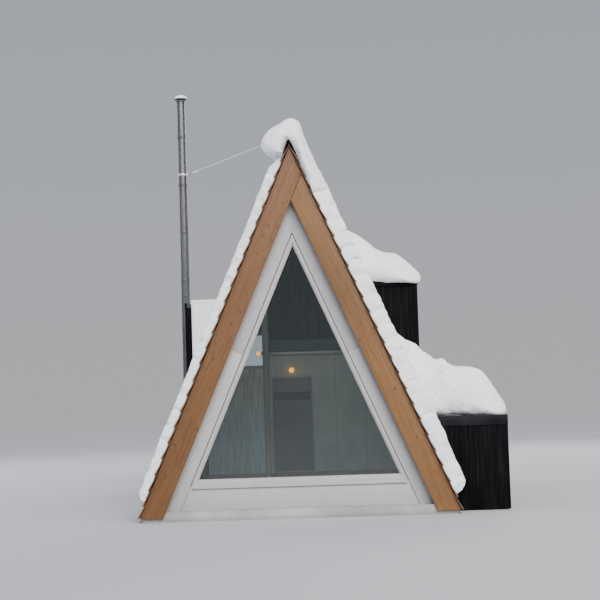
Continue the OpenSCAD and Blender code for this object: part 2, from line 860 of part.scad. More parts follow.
// Crown of the heap on the store: shares of the roof's width and of the heap's depth
store_crown = [[0.98, 0.22], [0.87, 0.5], [0.76, 0.75], [0.64, 0.93], [0.52, 0.99], [0.32, 1.02],
    [0.2, 1.15], [0.04, 1.32], [-0.18, 1.62]];

module snow_store() {
    d = -right_snow - seat_gap;
    inner = layer_w(store_top, d);
    width = store_out + store_eave - inner;
    top = store_top + 2 * store_snow_h;
    color(snow) difference() {
        along_y(store_y0 - store_eave, store_y1 + store_eave)
            polygon(concat([[inner, store_top], [store_out + store_eave, store_top]],
                [for (p = store_crown) [inner + p[0] * width, store_top + p[1] * store_snow_h]],
                [[layer_w(top, d), top]]));
        block([0, rd_y0, 0], [dormer_out, rd_y1, right_dormer_top]);
    }
}

foundation();
floor_boards();  // floor
roof_left_front();
roof_left_top();
roof_right_front();
roof_right_top();
roof_right_back();
shingles_left();
shingles_right();
ridge_boards();
barge_front_left();
barge_front_right();
barge_back_left();
barge_back_right();
trim_left_upper();
trim_left_lower();
trim_right_upper();
trim_right_lower();
front_wall_left();
front_wall_right();
front_wall_base();
front_window_frame();
front_glass();
back_wall_left();
back_wall_right();
back_wall_upper();
back_wall_head();
back_window_frame();
back_glass();
door_frame();
door_leaf();
door_handle();
hinge_pins();
hinge_knuckles();
loft_floor();
loft_beam();
loft_post();
lamps();
right_dormer_front();
right_dormer_side();
right_dormer_back();
right_dormer_roof();
left_dormer_front();
left_dormer_side();
left_dormer_roof();
store_walls();
store_roof();
flue_pipe();
flue_cap();
flue_brackets();
guy_rod();
snow_ridge();
snow_left();
snow_right();
snow_right_dormer();
snow_left_dormer();
snow_store();
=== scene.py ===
import bpy
import bmesh
import math
import random
from mathutils import Matrix, Vector, noise


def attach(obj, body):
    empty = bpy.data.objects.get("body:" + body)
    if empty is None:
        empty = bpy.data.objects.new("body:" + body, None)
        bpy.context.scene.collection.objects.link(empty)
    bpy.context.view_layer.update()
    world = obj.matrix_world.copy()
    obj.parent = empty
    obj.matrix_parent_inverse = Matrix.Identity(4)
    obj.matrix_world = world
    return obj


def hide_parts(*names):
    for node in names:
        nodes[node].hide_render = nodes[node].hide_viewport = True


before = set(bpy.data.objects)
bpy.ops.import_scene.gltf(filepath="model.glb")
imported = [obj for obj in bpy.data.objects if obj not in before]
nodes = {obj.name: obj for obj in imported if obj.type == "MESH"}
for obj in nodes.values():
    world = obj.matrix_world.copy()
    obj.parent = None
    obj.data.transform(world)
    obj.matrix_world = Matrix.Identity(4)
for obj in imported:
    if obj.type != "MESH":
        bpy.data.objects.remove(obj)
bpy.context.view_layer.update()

scene = bpy.context.scene

# Sizes of the house in metres, as the frame has them
house = {
    "ridge": 5.6,
    "slope": math.radians(23.4),
    "front": -4.2,
    "back": 4.2,
    "courseLength": 0.254,
    "courseButt": 0.050,
    "courseHead": 0.013,
    "lining": 0.2401,  # depth of the slopes' inner face
    "slab": 0.15,
    "floor": 0.25,
    "dormerOut": 2.07,
    "rightDormer": (-1.25, 1.55, 3.8),  # its front, back and top
    "leftDormer": (1.1, 3.94, 3.63),
    "store": (-3.68, 1.95, 1.445),
}
sinS = math.sin(house["slope"])
cosS = math.cos(house["slope"])
tanS = math.tan(house["slope"])


def onSlope(u, t, side=1):
    # the point u down a slope from the peak and t out of the deck
    return side * (u * sinS + t * cosS), house["ridge"] - u * cosS + t * sinS


def faceX(z, depth=0.0):
    # how far the slope's layer at that depth stands from the centre plane
    return (house["ridge"] - z) * tanS - depth / cosS


def faceZ(x, depth=0.0):
    return house["ridge"] - (x + depth / cosS) / tanS


def clamp(value):
    return min(1.0, max(0.0, value))


# Camera, floor and light
studio = {
    "place": (0.175, -25.06, 1.844),
    "turn": math.radians(0.224),
    "tilt": math.radians(3.9),
    "roll": math.radians(-1.79),
    "lens": 83.3,
    "floorSize": 90.0,
    "floorGrey": (0.43, 0.44, 0.46),
    "fadeStart": 16.0,
    "fadeEnd": 80.0,
    "skyColour": (0.78, 0.86, 1.0),
    "horizonColour": (0.965, 0.985, 1.03),
    "skyStrength": 0.50,
    "sun": ("skyLamp", (2.6, -14.0, 10.4), math.radians(40.0), 4.3, (1.0, 0.965, 0.94)),
    "target": (0.0, 0.0, 2.6),
    "lamps": [
        ("keyLamp", (12.0, -17.0, 15.0), 10.0, 1800.0, (1.0, 0.955, 0.90)),
        ("fillLamp", (-18.0, -14.0, 9.0), 12.0, 900.0, (0.76, 0.84, 1.0)),
        ("rimLamp", (8.0, 18.0, 14.0), 10.0, 2400.0, (1.0, 0.97, 0.94)),
        ("backFillLamp", (-16.0, 14.0, 10.0), 10.0, 1500.0, (0.9, 0.94, 1.0)),
    ],
    "roomTarget": (0.0, 3.2, 1.2),
    "roomLamps": [
        ("roomLamp", (0.3, 1.2, 2.5), 1.6, 24.0, (0.93, 0.98, 1.0)),
        ("frontRoomLamp", (0.0, -2.2, 3.3), 0.5, 12.0, (0.85, 0.93, 1.0)),
    ],
}


def makeCamera():
    data = bpy.data.cameras.new("photoCamera")
    camera = bpy.data.objects.new("photoCamera", data)
    scene.collection.objects.link(camera)
    data.sensor_width = 36.0
    data.lens = studio["lens"]
    data.clip_end = 400.0
    turn = Matrix.Rotation(studio["turn"], 4, "Z")
    tilt = Matrix.Rotation(math.pi / 2 + studio["tilt"], 4, "X")
    roll = Matrix.Rotation(studio["roll"], 4, "Z")
    camera.matrix_world = Matrix.Translation(studio["place"]) @ turn @ tilt @ roll
    scene.camera = camera


def addLamp(kind, name, place, target, power, colour):
    data = bpy.data.lights.new(name, kind)
    data.energy = power
    data.color = colour
    lamp = bpy.data.objects.new(name, data)
    lamp.location = place
    lamp.rotation_euler = (Vector(target) - Vector(place)).to_track_quat("-Z", "Y").to_euler()
    scene.collection.objects.link(lamp)
    return lamp


def makeLamps():
    for lamps, target, shines in (("lamps", "target", True), ("roomLamps", "roomTarget", False)):
        for name, place, size, power, colour in studio[lamps]:
            lamp = addLamp("AREA", name, place, studio[target], power, colour)
            lamp.data.size = size
            lamp.visible_camera = False
            lamp.visible_glossy = shines
    name, place, width, power, colour = studio["sun"]
    sun = addLamp("SUN", name, place, (0.0, 0.0, 0.0), power, colour)
    sun.data.angle = width


# Node trees: a socket that takes part in sums, and a tree that adds any node
class Tone:
    def __init__(self, tree, socket):
        self.tree = tree
        self.socket = socket

    def sum(self, kind, first, second=0.0):
        return self.tree.add("ShaderNodeMath", {"operation": kind}, {0: first, 1: second})

    def __add__(self, other):
        return self.sum("ADD", self, other)

    def __radd__(self, other):
        return self.sum("ADD", other, self)

    def __sub__(self, other):
        return self.sum("SUBTRACT", self, other)

    def __rsub__(self, other):
        return self.sum("SUBTRACT", other, self)

    def __mul__(self, other):
        return self.sum("MULTIPLY", self, other)

    def __rmul__(self, other):
        return self.sum("MULTIPLY", other, self)

    def __truediv__(self, other):
        return self.sum("DIVIDE", self, other)

    def __rtruediv__(self, other):
        return self.sum("DIVIDE", other, self)

    def __pow__(self, other):
        return self.sum("POWER", self, other)

    def __rpow__(self, other):
        return self.sum("POWER", other, self)

    def __mod__(self, other):
        return self.sum("FLOORED_MODULO", self, other)

    def __rmod__(self, other):
        return self.sum("FLOORED_MODULO", other, self)

    def __gt__(self, other):
        return self.sum("GREATER_THAN", self, other)

    def __lt__(self, other):
        return self.sum("LESS_THAN", self, other)

    def __abs__(self):
        return self.sum("ABSOLUTE", self)

    def atLeast(self, other):
        return self.sum("MAXIMUM", self, other)

    def atMost(self, other):
        return self.sum("MINIMUM", self, other)

    def whole(self):
        return self.sum("FLOOR", self)


class Tree:
    def __init__(self, tree):
        self.tree = tree

    def add(self, kind, settings=None, values=None, outlet=0):
        node = self.tree.nodes.new(kind)
        for key, value in (settings or {}).items():
            if key == "stops":
                self.setStops(node.color_ramp, value)
            else:
                setattr(node, key, value)
        for key, value in (values or {}).items():
            self.feed(node.inputs[key], value)
        self.last = node
        return self.outlet(outlet) if node.outputs else None

    def feed(self, socket, value):
        if isinstance(value, Tone):
            self.tree.links.new(value.socket, socket)
        elif isinstance(value, tuple) and len(value) == 3 and socket.type == "RGBA":
            socket.default_value = (*value, 1.0)
        else:
            socket.default_value = value

    def outlet(self, key):
        # an outlet of the node made last
        return Tone(self, self.last.outputs[key])

    def setStops(self, ramp, stops):
        while len(ramp.elements) < len(stops):
            ramp.elements.new(0.5)
        for element, (place, colour) in zip(ramp.elements, stops):
            element.position = place
            element.color = (*colour, 1.0)

    def mix(self, share, first, second, kind="MIX"):
        settings = {"data_type": "RGBA", "blend_type": kind}
        return self.add("ShaderNodeMix", settings, {0: share, 6: first, 7: second}, 2)

    def band(self, value, low=0.3, high=0.7, first=0.0, last=1.0):
        # a soft step from the first value to the last
        values = {"Value": value, "From Min": low, "From Max": high, "To Min": first, "To Max": last}
        return self.add("ShaderNodeMapRange", {"interpolation_type": "SMOOTHSTEP"}, values)

    def vectorSum(self, kind, first, second):
        return self.add("ShaderNodeVectorMath", {"operation": kind}, {0: first, 1: second})

    def parts(self, vector):
        x = self.add("ShaderNodeSeparateXYZ", None, {0: vector})
        return x, self.outlet(1), self.outlet(2)

    def joined(self, x, y, z):
        return self.add("ShaderNodeCombineXYZ", None, {0: x, 1: y, 2: z})


class Finish(Tree):
    def __init__(self, name, roughness, specular=0.5, others=None):
        self.material = bpy.data.materials.new(name)
        self.material.use_nodes = True
        super().__init__(self.material.node_tree)
        self.shader = self.tree.nodes["Principled BSDF"]
        constants = {"Roughness": roughness, "Specular IOR Level": specular, **(others or {})}
        for key, value in constants.items():
            self.feed(self.shader.inputs[key], value)

    def place(self):
        return self.add("ShaderNodeTexCoord", None, None, "Object")

    def grain(self):
        return self.add("ShaderNodeAttribute", {"attribute_name": "grain"}, None, "Vector")

    def cloud(self, vector, scale, detail=3.0, rough=0.55, warp=0.0, stretch=None):
        if stretch:
            vector = self.vectorSum("MULTIPLY", vector, stretch)
        values = {"Vector": vector, "Scale": scale, "Detail": detail, "Roughness": rough,
                  "Distortion": warp}
        return self.add("ShaderNodeTexNoise", None, values)

    def ramp(self, value, *colours):
        # colours at even steps along the value
        last = len(colours) - 1
        stops = [(number / last, colour) for number, colour in enumerate(colours)]
        return self.add("ShaderNodeValToRGB", {"stops": stops}, {0: value})

    def wear(self, colour, roughness=None, height=None, strength=0.5, reach=0.01):
        # links what varies over the surface to the shader
        if height:
            values = {"Height": height, "Strength": strength, "Distance": reach}
            height = self.add("ShaderNodeBump", None, values)
        for key, value in (("Base Color", colour), ("Roughness", roughness), ("Normal", height)):
            if value:
                self.feed(self.shader.inputs[key], value)
        return self.material

    def blend(self, share, other, first=False):
        # the surface is this shader and another one, mixed
        own = Tone(self, self.shader.outputs[0])
        pair = (other, own) if first else (own, other)
        both = self.add("ShaderNodeMixShader", None, {0: share, 1: pair[0], 2: pair[1]})
        self.feed(self.tree.nodes["Material Output"].inputs["Surface"], both)
        return self.material


def makeSky():
    # paler towards the floor, so that the floor's far edge melts into it
    world = bpy.data.worlds.new("paleStudio")
    world.use_nodes = True
    scene.world = world
    tree = Tree(world.node_tree)
    height = tree.parts(tree.add("ShaderNodeTexCoord", None, None, "Generated"))[2]
    colour = tree.mix(tree.band(height, -0.02, 0.42), studio["horizonColour"], studio["skyColour"])
    sky = world.node_tree.nodes["Background"]
    tree.feed(sky.inputs["Color"], colour)
    tree.feed(sky.inputs["Strength"], studio["skyStrength"])


makeCamera()
makeLamps()
makeSky()
print("camera, lamps and sky ready")


# Finishes, and the colours of those that are used once
tints = {
    "snow": (0.93, 0.93, 0.93),
    "snowDrift": (0.88, 0.89, 0.92),
    "snowHollowShade": (0.77, 0.80, 0.865),
    "snowCrust": (0.73, 0.75, 0.815),
    "snowTrackShade": (0.76, 0.78, 0.84),
    "sheet": ((0.006, 0.006, 0.009), (0.012, 0.012, 0.016)),
    "concrete": ((0.23, 0.225, 0.215), (0.47, 0.46, 0.44)),
    "concreteFoot": (0.16, 0.155, 0.15),
    "concreteHoleShade": (0.10, 0.10, 0.10),
    "floor": ((0.22, 0.14, 0.08), (0.46, 0.33, 0.20)),
    "floorDark": (0.27, 0.18, 0.11),
    "floorSeam": (0.05, 0.035, 0.025),
    "lining": ((0.035, 0.042, 0.050), (0.075, 0.086, 0.096)),
    "liningSeam": (0.008, 0.009, 0.010),
    "panel": ((0.40, 0.43, 0.41), (0.50, 0.525, 0.49)),
    "panelWarm": ((0.36, 0.34, 0.27), (0.70, 0.68, 0.58)),
    "panelCool": ((0.40, 0.49, 0.50), (0.68, 0.76, 0.76)),
    "panelLoftShade": ((0.035, 0.043, 0.052), (0.065, 0.078, 0.090)),
    "panelSeam": (0.12, 0.12, 0.11),
    "glass": (0.86, 0.91, 0.93),
    "glassClear": (0.90, 0.94, 0.945),
    "globe": ((0.50, 0.30, 0.15), (0.60, 0.38, 0.20)),
    "globeGlow": ((1.0, 0.35, 0.022), (1.0, 0.42, 0.04)),
}


def planks(finish, across, width, gap, start=20.0):
    # 0 in the joints between boards and 1 on them, with each board's number
    place = (across + start) / width
    share = place % 1.0
    edge = share.atMost(1.0 - share) * width
    return finish.band(edge, 0.0, gap), place.whole()


def makeTimber(name, look):
    look = {"roughness": 0.6, "gloss": 0.4, "bump": 0.3, "low": 0.86, **look}
    finish = Finish(name, look["roughness"], look["gloss"])
    x, y, z = finish.parts(finish.grain())
    swirl = 0.0
    if "knots" in look:
        values = {"Vector": finish.joined(x, y, 0.0), "Scale": look["knots"]}
        spot = finish.add("ShaderNodeTexVoronoi", {"voronoi_dimensions": "2D"}, values)
        chosen = finish.parts(finish.outlet("Color"))[0] > 0.45
        swirl = finish.band(spot, 0.0, 0.30, 1.0, 0.0) * chosen * 0.045
        knot = finish.band(spot, 0.018, 0.052, 1.0, 0.0) * chosen
    flow = finish.joined(x * 0.55, y + swirl, z)
    rings = finish.cloud(flow, 2.2, 4.0, 0.62, 0.8, (1.0, 15.0, 15.0))
    fibres = finish.cloud(flow, 2.0, 3.0, 0.6, 0.0, (5.0, 150.0, 150.0))
    tone = finish.band(rings * 0.62 + fibres * 0.38, 0.34, 0.66)
    colour = finish.ramp(tone, look["dark"], look["mid"], look["light"])
    drift = finish.band(finish.cloud(flow, 1.3, 2.0), 0.3, 0.7, look["low"], 1.08)
    colour = finish.mix(1.0, colour, finish.joined(drift, drift, drift), "MULTIPLY")
    if "stain" in look:
        # cloudy weathering, darker and redder towards the roof's edge; this band under the shingles is also
        # painted shade for the shadow of their overhang
        x, y, z = finish.parts(finish.place())
        depth = house["ridge"] * sinS - abs(x) * cosS - z * sinS
        patch = finish.cloud(finish.place(), 5.5, 4.0, 0.6)
        edge = finish.band(depth + patch * 0.09, 0.035, 0.125, 0.55, 0.0)
        colour = finish.mix(edge, colour, look["stain"])
        colour = finish.mix(finish.band(patch, 0.50, 0.72, 0.0, 0.55), colour, look["dark"])
    height = rings * 0.5 + fibres * 0.5
    if "knots" in look:
        halo = finish.band(spot, 0.05, 0.13, 0.45, 0.0) * chosen
        colour = finish.mix(halo, colour, look["dark"])
        colour = finish.mix(knot, colour, look["knotColour"])
        height = height - knot * 0.5
    rough = finish.band(fibres, 0.3, 0.7, look["roughness"] - 0.07, look["roughness"] + 0.09)
    return finish.wear(colour, rough, height, look["bump"], 0.004)


def makeLining():
    # boards that run front to back on the slopes, and across on flat faces
    finish = Finish("roofLining", 0.6, 0.3)
    dark, light = tints["lining"]
    x, y, z = finish.parts(finish.place())
    down = abs(x) * sinS - z * cosS
    joint, number = planks(finish, down, 0.14, 0.006)
    figure = finish.cloud(finish.joined(y * 0.6, down * 9.0, number * 3.7), 2.4, 4.0, 0.6, 0.6)
    colour = finish.ramp(finish.band(figure), dark, light)
    shade = finish.cloud(finish.joined(number * 5.3, number, 0.0), 3.0)
    colour = finish.mix(finish.band(shade, 0.3, 0.7, 0.0, 0.35), colour, dark)
    colour = finish.mix(1.0 - joint, colour, tints["liningSeam"])
    rough = finish.band(figure, 0.3, 0.7, 0.5, 0.68)
    return finish.wear(colour, rough, joint + figure * 0.15, 0.5, 0.004)


def makePaint(name, colour, shade, roughness=0.42, stripe=None):
    finish = Finish(name, roughness, 0.45)
    vector = finish.place()
    x, y, z = finish.parts(vector)
    brush = finish.cloud(vector, 2.0, 4.0, 0.6, 0.0, (30.0, 30.0, 2.2))
    patch = finish.cloud(vector, 0.9, 4.0, 0.6)
    streak = finish.cloud(vector, 1.6, 3.0, 0.55, 0.0, (7.0, 7.0, 0.5))
    mask = finish.band(patch * 0.6 + streak * 0.4, 0.38, 0.68)
    tint = finish.mix(mask, colour, shade)
    # splashed and dull near the ground
    splash = finish.band(z + patch * 0.5, 0.3, 1.1, 0.22, 0.0)
    tint = finish.mix(splash, tint, (shade[0] * 0.72, shade[1] * 0.7, shade[2] * 0.66))
    if stripe:
        low, high, left, right, dark = stripe
        inside = (z > low) * (z < high) * (x > left) * (x < right)
        tint = finish.mix(inside, tint, dark)
    rough = finish.band(patch, 0.3, 0.7, roughness - 0.08, roughness + 0.12)
    return finish.wear(tint, rough, brush + streak * 0.3, 0.16, 0.004)


def makeSnow():
    softness = {"Subsurface Weight": 0.22, "Subsurface Radius": (0.6, 0.8, 1.0), "Subsurface Scale": 0.05}
    finish = Finish("snow", 0.72, 0.28, softness)
    vector = finish.place()
    drift = finish.cloud(vector, 0.55)
    swell = finish.cloud(vector, 2.3, 4.0, 0.5, 0.0, (1.0, 0.6, 1.7))
    crust = finish.cloud(vector, 7.0, 5.0, 0.6)
    grains = finish.cloud(vector, 95.0, 4.0, 0.7)
    x, y, z = finish.parts(vector)
    # soft tracks that run down the slopes, in the bump, and as a painted shade of blue-grey along them in the
    # colour
    track = finish.joined(abs(x) * 0.74 + z * 0.67, y, (abs(x) * 0.67 - z * 0.74) * 0.09)
    track = finish.cloud(track, 7.0, 2.0, 0.5)
    colour = finish.mix(finish.band(drift, 0.35, 0.65), tints["snow"], tints["snowDrift"])
    # painted shade: the hollows of the swell are coloured a darker blue-grey
    colour = finish.mix(finish.band(swell, 0.36, 0.52, 0.35, 0.0), colour, tints["snowHollowShade"])
    colour = finish.mix(finish.band(crust, 0.58, 0.76, 0.0, 0.34), colour, tints["snowCrust"])
    # painted shade along the tracks
    colour = finish.mix(finish.band(track, 0.52, 0.70, 0.0, 0.24), colour, tints["snowTrackShade"])
    height = swell * 1.2 + crust * 0.6 + track * 1.1 + grains * 0.10
    height = height + finish.cloud(vector, 24.0, 4.0, 0.6) * 0.30
    return finish.wear(colour, finish.band(grains, 0.3, 0.7, 0.58, 0.85), height, 0.55, 0.05)


def makeSteel(name, colour, roughness):
    finish = Finish(name, roughness, 0.5, {"Metallic": 0.82})
    vector = finish.place()
    finish.add("ShaderNodeTexVoronoi", None, {"Vector": vector, "Scale": 46.0})
    facet = finish.parts(finish.outlet("Color"))[0]
    streak = finish.cloud(vector, 2.0, 4.0, 0.6, 0.0, (14.0, 14.0, 0.8))
    bloom = finish.cloud(vector, 3.1, 4.0, 0.6)
    tone = finish.band(facet * 0.28 + streak * 0.5 + bloom * 0.3, 0.28, 0.80)
    tint = finish.mix(tone, tuple(part * 0.62 for part in colour), colour)
    rough = finish.band(facet + bloom, 0.4, 1.4, roughness - 0.08, roughness + 0.12)
    return finish.wear(tint, rough, streak + facet * 0.2, 0.10, 0.003)


def makeDarkSheet():
    finish = Finish("darkFlashing", 0.55, 0.12)
    vector = finish.place()
    dust = finish.cloud(vector, 2.6, 5.0, 0.6)
    streak = finish.cloud(vector, 1.8, 3.0, 0.55, 0.0, (11.0, 11.0, 0.9))
    tint = finish.mix(finish.band(dust * 0.6 + streak * 0.4, 0.40, 0.70), *tints["sheet"])
    return finish.wear(tint, finish.band(dust, 0.3, 0.7, 0.34, 0.56), dust, 0.12, 0.003)


def makeConcrete():
    finish = Finish("concrete", 0.85, 0.3)
    vector = finish.place()
    z = finish.parts(vector)[2]
    stain = finish.cloud(vector, 0.8, 5.0, 0.6)
    grit = finish.cloud(vector, 60.0, 4.0, 0.7)
    hole = finish.add("ShaderNodeTexVoronoi", None, {"Vector": vector, "Scale": 18.0})
    hole = finish.band(hole, 0.06, 0.13)
    tint = finish.ramp(finish.band(stain * 0.7 + grit * 0.3), *tints["concrete"])
    tint = finish.mix(finish.band(z, 0.0, 0.09, 0.45, 0.0), tint, tints["concreteFoot"])
    # painted shade: the pits, sunk in the bump, are darkened
    tint = finish.mix((1.0 - hole) * 0.6, tint, tints["concreteHoleShade"])
    rough = finish.band(grit, 0.3, 0.7, 0.75, 0.95)
    return finish.wear(tint, rough, grit * 0.5 + hole * 0.5, 0.5, 0.004)


def makeFloorBoards():
    finish = Finish("floorBoards", 0.4, 0.4)
    x, y, z = finish.parts(finish.place())
    joint, number = planks(finish, x, 0.14, 0.004)
    ends, length = planks(finish, y + number * 0.83, 2.1, 0.004, 40.0)
    flow = finish.joined(x * 11.0, y * 0.7, number * 3.1 + length * 7.7)
    figure = finish.cloud(flow, 2.2, 5.0, 0.62, 0.7)
    tint = finish.ramp(finish.band(figure), *tints["floor"])
    board = finish.cloud(finish.joined(number * 2.3, length * 4.1, 0.0), 2.0)
    tint = finish.mix(finish.band(board, 0.3, 0.7, 0.0, 0.4), tint, tints["floorDark"])
    seam = joint.atMost(ends)
    tint = finish.mix(1.0 - seam, tint, tints["floorSeam"])
    return finish.wear(tint, finish.band(figure, 0.3, 0.7, 0.32, 0.5), seam + figure * 0.1, 0.4, 0.003)


def makeWallLining(name, streaks):
    # pale boarding below the loft, and above it a near-black lining whose darkness is painted shade for the
    # unlit loft
    finish = Finish(name, 0.62, 0.3)
    vector = finish.place()
    x, y, z = finish.parts(vector)
    joint = planks(finish, x, 0.61, 0.005)[0]
    fibre = finish.cloud(vector, 1.5, 4.0, 0.6, 0.0, (26.0, 26.0, 1.3))
    if streaks:
        warm = finish.mix(finish.band(fibre), *tints["panelWarm"])
        cool = finish.mix(finish.band(fibre), *tints["panelCool"])
        tint = finish.mix(finish.band(z, 1.2, 2.3), cool, warm)
    else:
        pale = finish.mix(finish.band(finish.cloud(vector, 1.7, 4.0, 0.6)), *tints["panel"])
        dark = finish.mix(finish.band(fibre), *tints["panelLoftShade"])
        # painted shade: near-black above the loft's floor, where the loft is unlit
        tint = finish.mix(z > 2.74, pale, dark)
    tint = finish.mix((1.0 - joint) * 0.8, tint, tints["panelSeam"])
    rough = finish.band(fibre, 0.3, 0.7, 0.52, 0.72)
    return finish.wear(tint, rough, joint + fibre * 0.2, 0.3, 0.004)


def makeGlass():
    finish = Finish("windowGlass", 0.03, 0.5, {"Base Color": tints["glass"], "Metallic": 1.0})
    smear = finish.cloud(finish.place(), 3.0)
    finish.wear(None, finish.band(smear, 0.35, 0.7, 0.015, 0.05))
    clear = finish.add("ShaderNodeBsdfTransparent", None, {"Color": tints["glassClear"]})
    mirror = finish.add("ShaderNodeFresnel", None, {"IOR": 1.52})
    return finish.blend(finish.band(mirror, 0.0, 1.0, 0.045, 1.0), clear, True)


def makeGlobe():
    finish = Finish("globeGlass", 0.25, 0.5, {"Emission Strength": 1.75})
    share = finish.band(finish.cloud(finish.place(), 28.0))
    finish.feed(finish.shader.inputs["Emission Color"], finish.mix(share, *tints["globeGlow"]))
    return finish.wear(finish.mix(share, *tints["globe"]))


# the left bargeboards have a deeper tone than the right ones
looks = {
    "fir": {"dark": (0.142, 0.062, 0.019), "mid": (0.179, 0.086, 0.030), "light": (0.208, 0.107, 0.040)},
    "firDeep": {"dark": (0.112, 0.044, 0.012), "mid": (0.140, 0.061, 0.020),
                "light": (0.166, 0.078, 0.027)},
    "post": {"dark": (0.150, 0.150, 0.115), "mid": (0.205, 0.207, 0.163), "light": (0.262, 0.262, 0.212)},
    "beam": {"dark": (0.040, 0.048, 0.056), "mid": (0.058, 0.068, 0.078), "light": (0.080, 0.092, 0.102)},
    "shingle": {"dark": (0.085, 0.050, 0.033), "mid": (0.185, 0.118, 0.080),
                "light": (0.280, 0.193, 0.138), "roughness": 0.85, "bump": 0.8, "gloss": 0.15, "low": 0.6},
    "ridgeBoard": {"dark": (0.012, 0.008, 0.006), "mid": (0.024, 0.015, 0.011),
                   "light": (0.045, 0.030, 0.022), "roughness": 0.75, "bump": 0.6, "gloss": 0.2},
    "cladding": {"dark": (0.0022, 0.0022, 0.0030), "mid": (0.0050, 0.0048, 0.0062),
                 "light": (0.0120, 0.0114, 0.0130), "roughness": 0.75, "bump": 0.6, "gloss": 0.04,
                 "low": 0.5},
    "wallBoard": {"dark": (0.44, 0.435, 0.41), "mid": (0.56, 0.55, 0.52), "light": (0.64, 0.63, 0.60),
                  "roughness": 0.55, "bump": 0.5},
}
for name in ("fir", "firDeep"):
    looks[name] |= {"stain": (0.105, 0.040, 0.011), "roughness": 0.55, "bump": 0.18, "knots": 3.6,
                    "knotColour": (0.022, 0.010, 0.006), "low": 0.84}
timbers = {name: makeTimber(name, look) for name, look in looks.items()}
lining = makeLining()
paint = makePaint("trimPaint", (0.42, 0.41, 0.415), (0.375, 0.368, 0.376))
framePaint = makePaint("doorFramePaint", (0.43, 0.445, 0.42), (0.37, 0.385, 0.365))
doorPaint = makePaint("doorPaint", (0.245, 0.238, 0.250), (0.215, 0.212, 0.225), 0.36,
                      (1.741, 1.909, -0.538, 0.218, (0.130, 0.114, 0.114)))
snowFinish = makeSnow()
flueSteel = makeSteel("flueSteel", (0.140, 0.136, 0.155), 0.40)
rodSteel = makeSteel("rodSteel", (0.72, 0.72, 0.74), 0.5)
hardware = makeSteel("hardware", (0.60, 0.60, 0.61), 0.30)
darkSheet = makeDarkSheet()
concrete = makeConcrete()
floorBoards = makeFloorBoards()
wallLining = makeWallLining("wallLining", False)
streakedPanel = makeWallLining("streakedPanel", True)
windowGlass = makeGlass()
globeGlass = makeGlobe()
print("finishes made:", len(bpy.data.materials))


# Mesh helpers: each solid keeps its own grain, whose X runs along the wood. The turn and the seed matter
# for wood alone
alongX = Matrix.Identity(3)
alongY = Matrix(((0, 1, 0), (1, 0, 0), (0, 0, 1)))
alongZ = Matrix(((0, 0, 1), (1, 0, 0), (0, 1, 0)))


def alongSlope(side):
    # grain that runs down a slope: X down it, Y square to it
    return Matrix(((side * sinS, 0, -cosS), (side * cosS, 0, sinS), (0, 1, 0)))


def joinSolid(bm, part, bevel=0.0, turn=alongX, seed=0.0, steps=2, rim=False):
    if bevel:
        # of a tube, only the two rims are bevelled
        edges = [e for e in part.edges if not rim or max(len(f.verts) for f in e.link_faces) > 4]
        bmesh.ops.bevel(part, geom=edges, offset=bevel, segments=steps, profile=0.6, affect="EDGES",
                        clamp_overlap=True)
    layer = part.verts.layers.float_vector.new("grain")
    shift = Vector((seed * 7.31, seed * 3.17, seed * 1.73))
    for vert in part.verts:
        vert[layer] = turn @ vert.co + shift
    if "grain" not in bm.verts.layers.float_vector:
        bm.verts.layers.float_vector.new("grain")
    mesh = bpy.data.meshes.new("part")
    part.to_mesh(mesh)
    part.free()
    bm.from_mesh(mesh)
    bpy.data.meshes.remove(mesh)


def addSolid(bm, outline, y0, y1, bevel=0.004, turn=alongX, seed=0.0, steps=2):
    # an XZ outline drawn out along Y, with turned grain
    part = bmesh.new()
    base = part.faces.new([part.verts.new((x, y0, z)) for x, z in outline])
    grown = bmesh.ops.extrude_face_region(part, geom=[base])
    moved = [item for item in grown["geom"] if isinstance(item, bmesh.types.BMVert)]
    bmesh.ops.translate(part, verts=moved, vec=(0.0, y1 - y0, 0.0))
    bmesh.ops.recalc_face_normals(part, faces=part.faces)
    joinSolid(bm, part, bevel, turn, seed, steps)


def corners(xs, zs, inset=0.0):
    # an upright rectangle, drawn in by the inset
    x0, x1, z0, z1 = xs[0] + inset, xs[1] - inset, zs[0] + inset, zs[1] - inset
    return [(x0, z0), (x1, z0), (x1, z1), (x0, z1)]


def addBlock(bm, xs, ys, zs, bevel=0.004, turn=alongX, seed=0.0):
    addSolid(bm, corners(xs, zs), *ys, bevel, turn, seed)


def addTube(bm, start, end, radius, sides=24, bevel=0.0, endRadius=None):
    part = bmesh.new()
    start, end = Vector(start), Vector(end)
    last = radius if endRadius is None else endRadius
    bmesh.ops.create_cone(part, cap_ends=True, segments=sides, radius1=radius, radius2=last,
                          depth=(end - start).length)
    spin = Vector((0, 0, 1)).rotation_difference(end - start).to_matrix().to_4x4()
    part.transform(Matrix.Translation((start + end) / 2) @ spin)
    joinSolid(bm, part, bevel, rim=True)


def addFrame(bm, outer, inner, ys, bevel):
    # mitred frame members between two loops of corners
    for i in range(len(outer)):
        addSolid(bm, [outer[i - 1], outer[i], inner[i], inner[i - 1]], *ys, bevel)


def joinRings(bm, rings):
    # quads between each ring of points and the next
    faces = []
    for first, second in zip(rings, rings[1:]):
        for k in range(len(first)):
            after = (k + 1) % len(first)
            faces.append(bm.faces.new((first[k], first[after], second[after], second[k])))
    return faces


def makePiece(name, bm, finish, body="cabin", replaced=None, smooth=True):
    mesh = bpy.data.meshes.new(name)
    bm.to_mesh(mesh)
    bm.free()
    piece = bpy.data.objects.new(name, mesh)
    scene.collection.objects.link(piece)
    if smooth:
        mesh.shade_smooth()
        mesh.set_sharp_from_angle(angle=math.radians(28))
    piece.data.materials.append(finish)
    if replaced is None:
        # by default it replaces the CAD node that has its name
        node = "".join("_" + letter.lower() if letter.isupper() else letter for letter in name)
        replaced = [node] if node in nodes else []
    if replaced:
        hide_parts(*replaced)
    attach(piece, body)


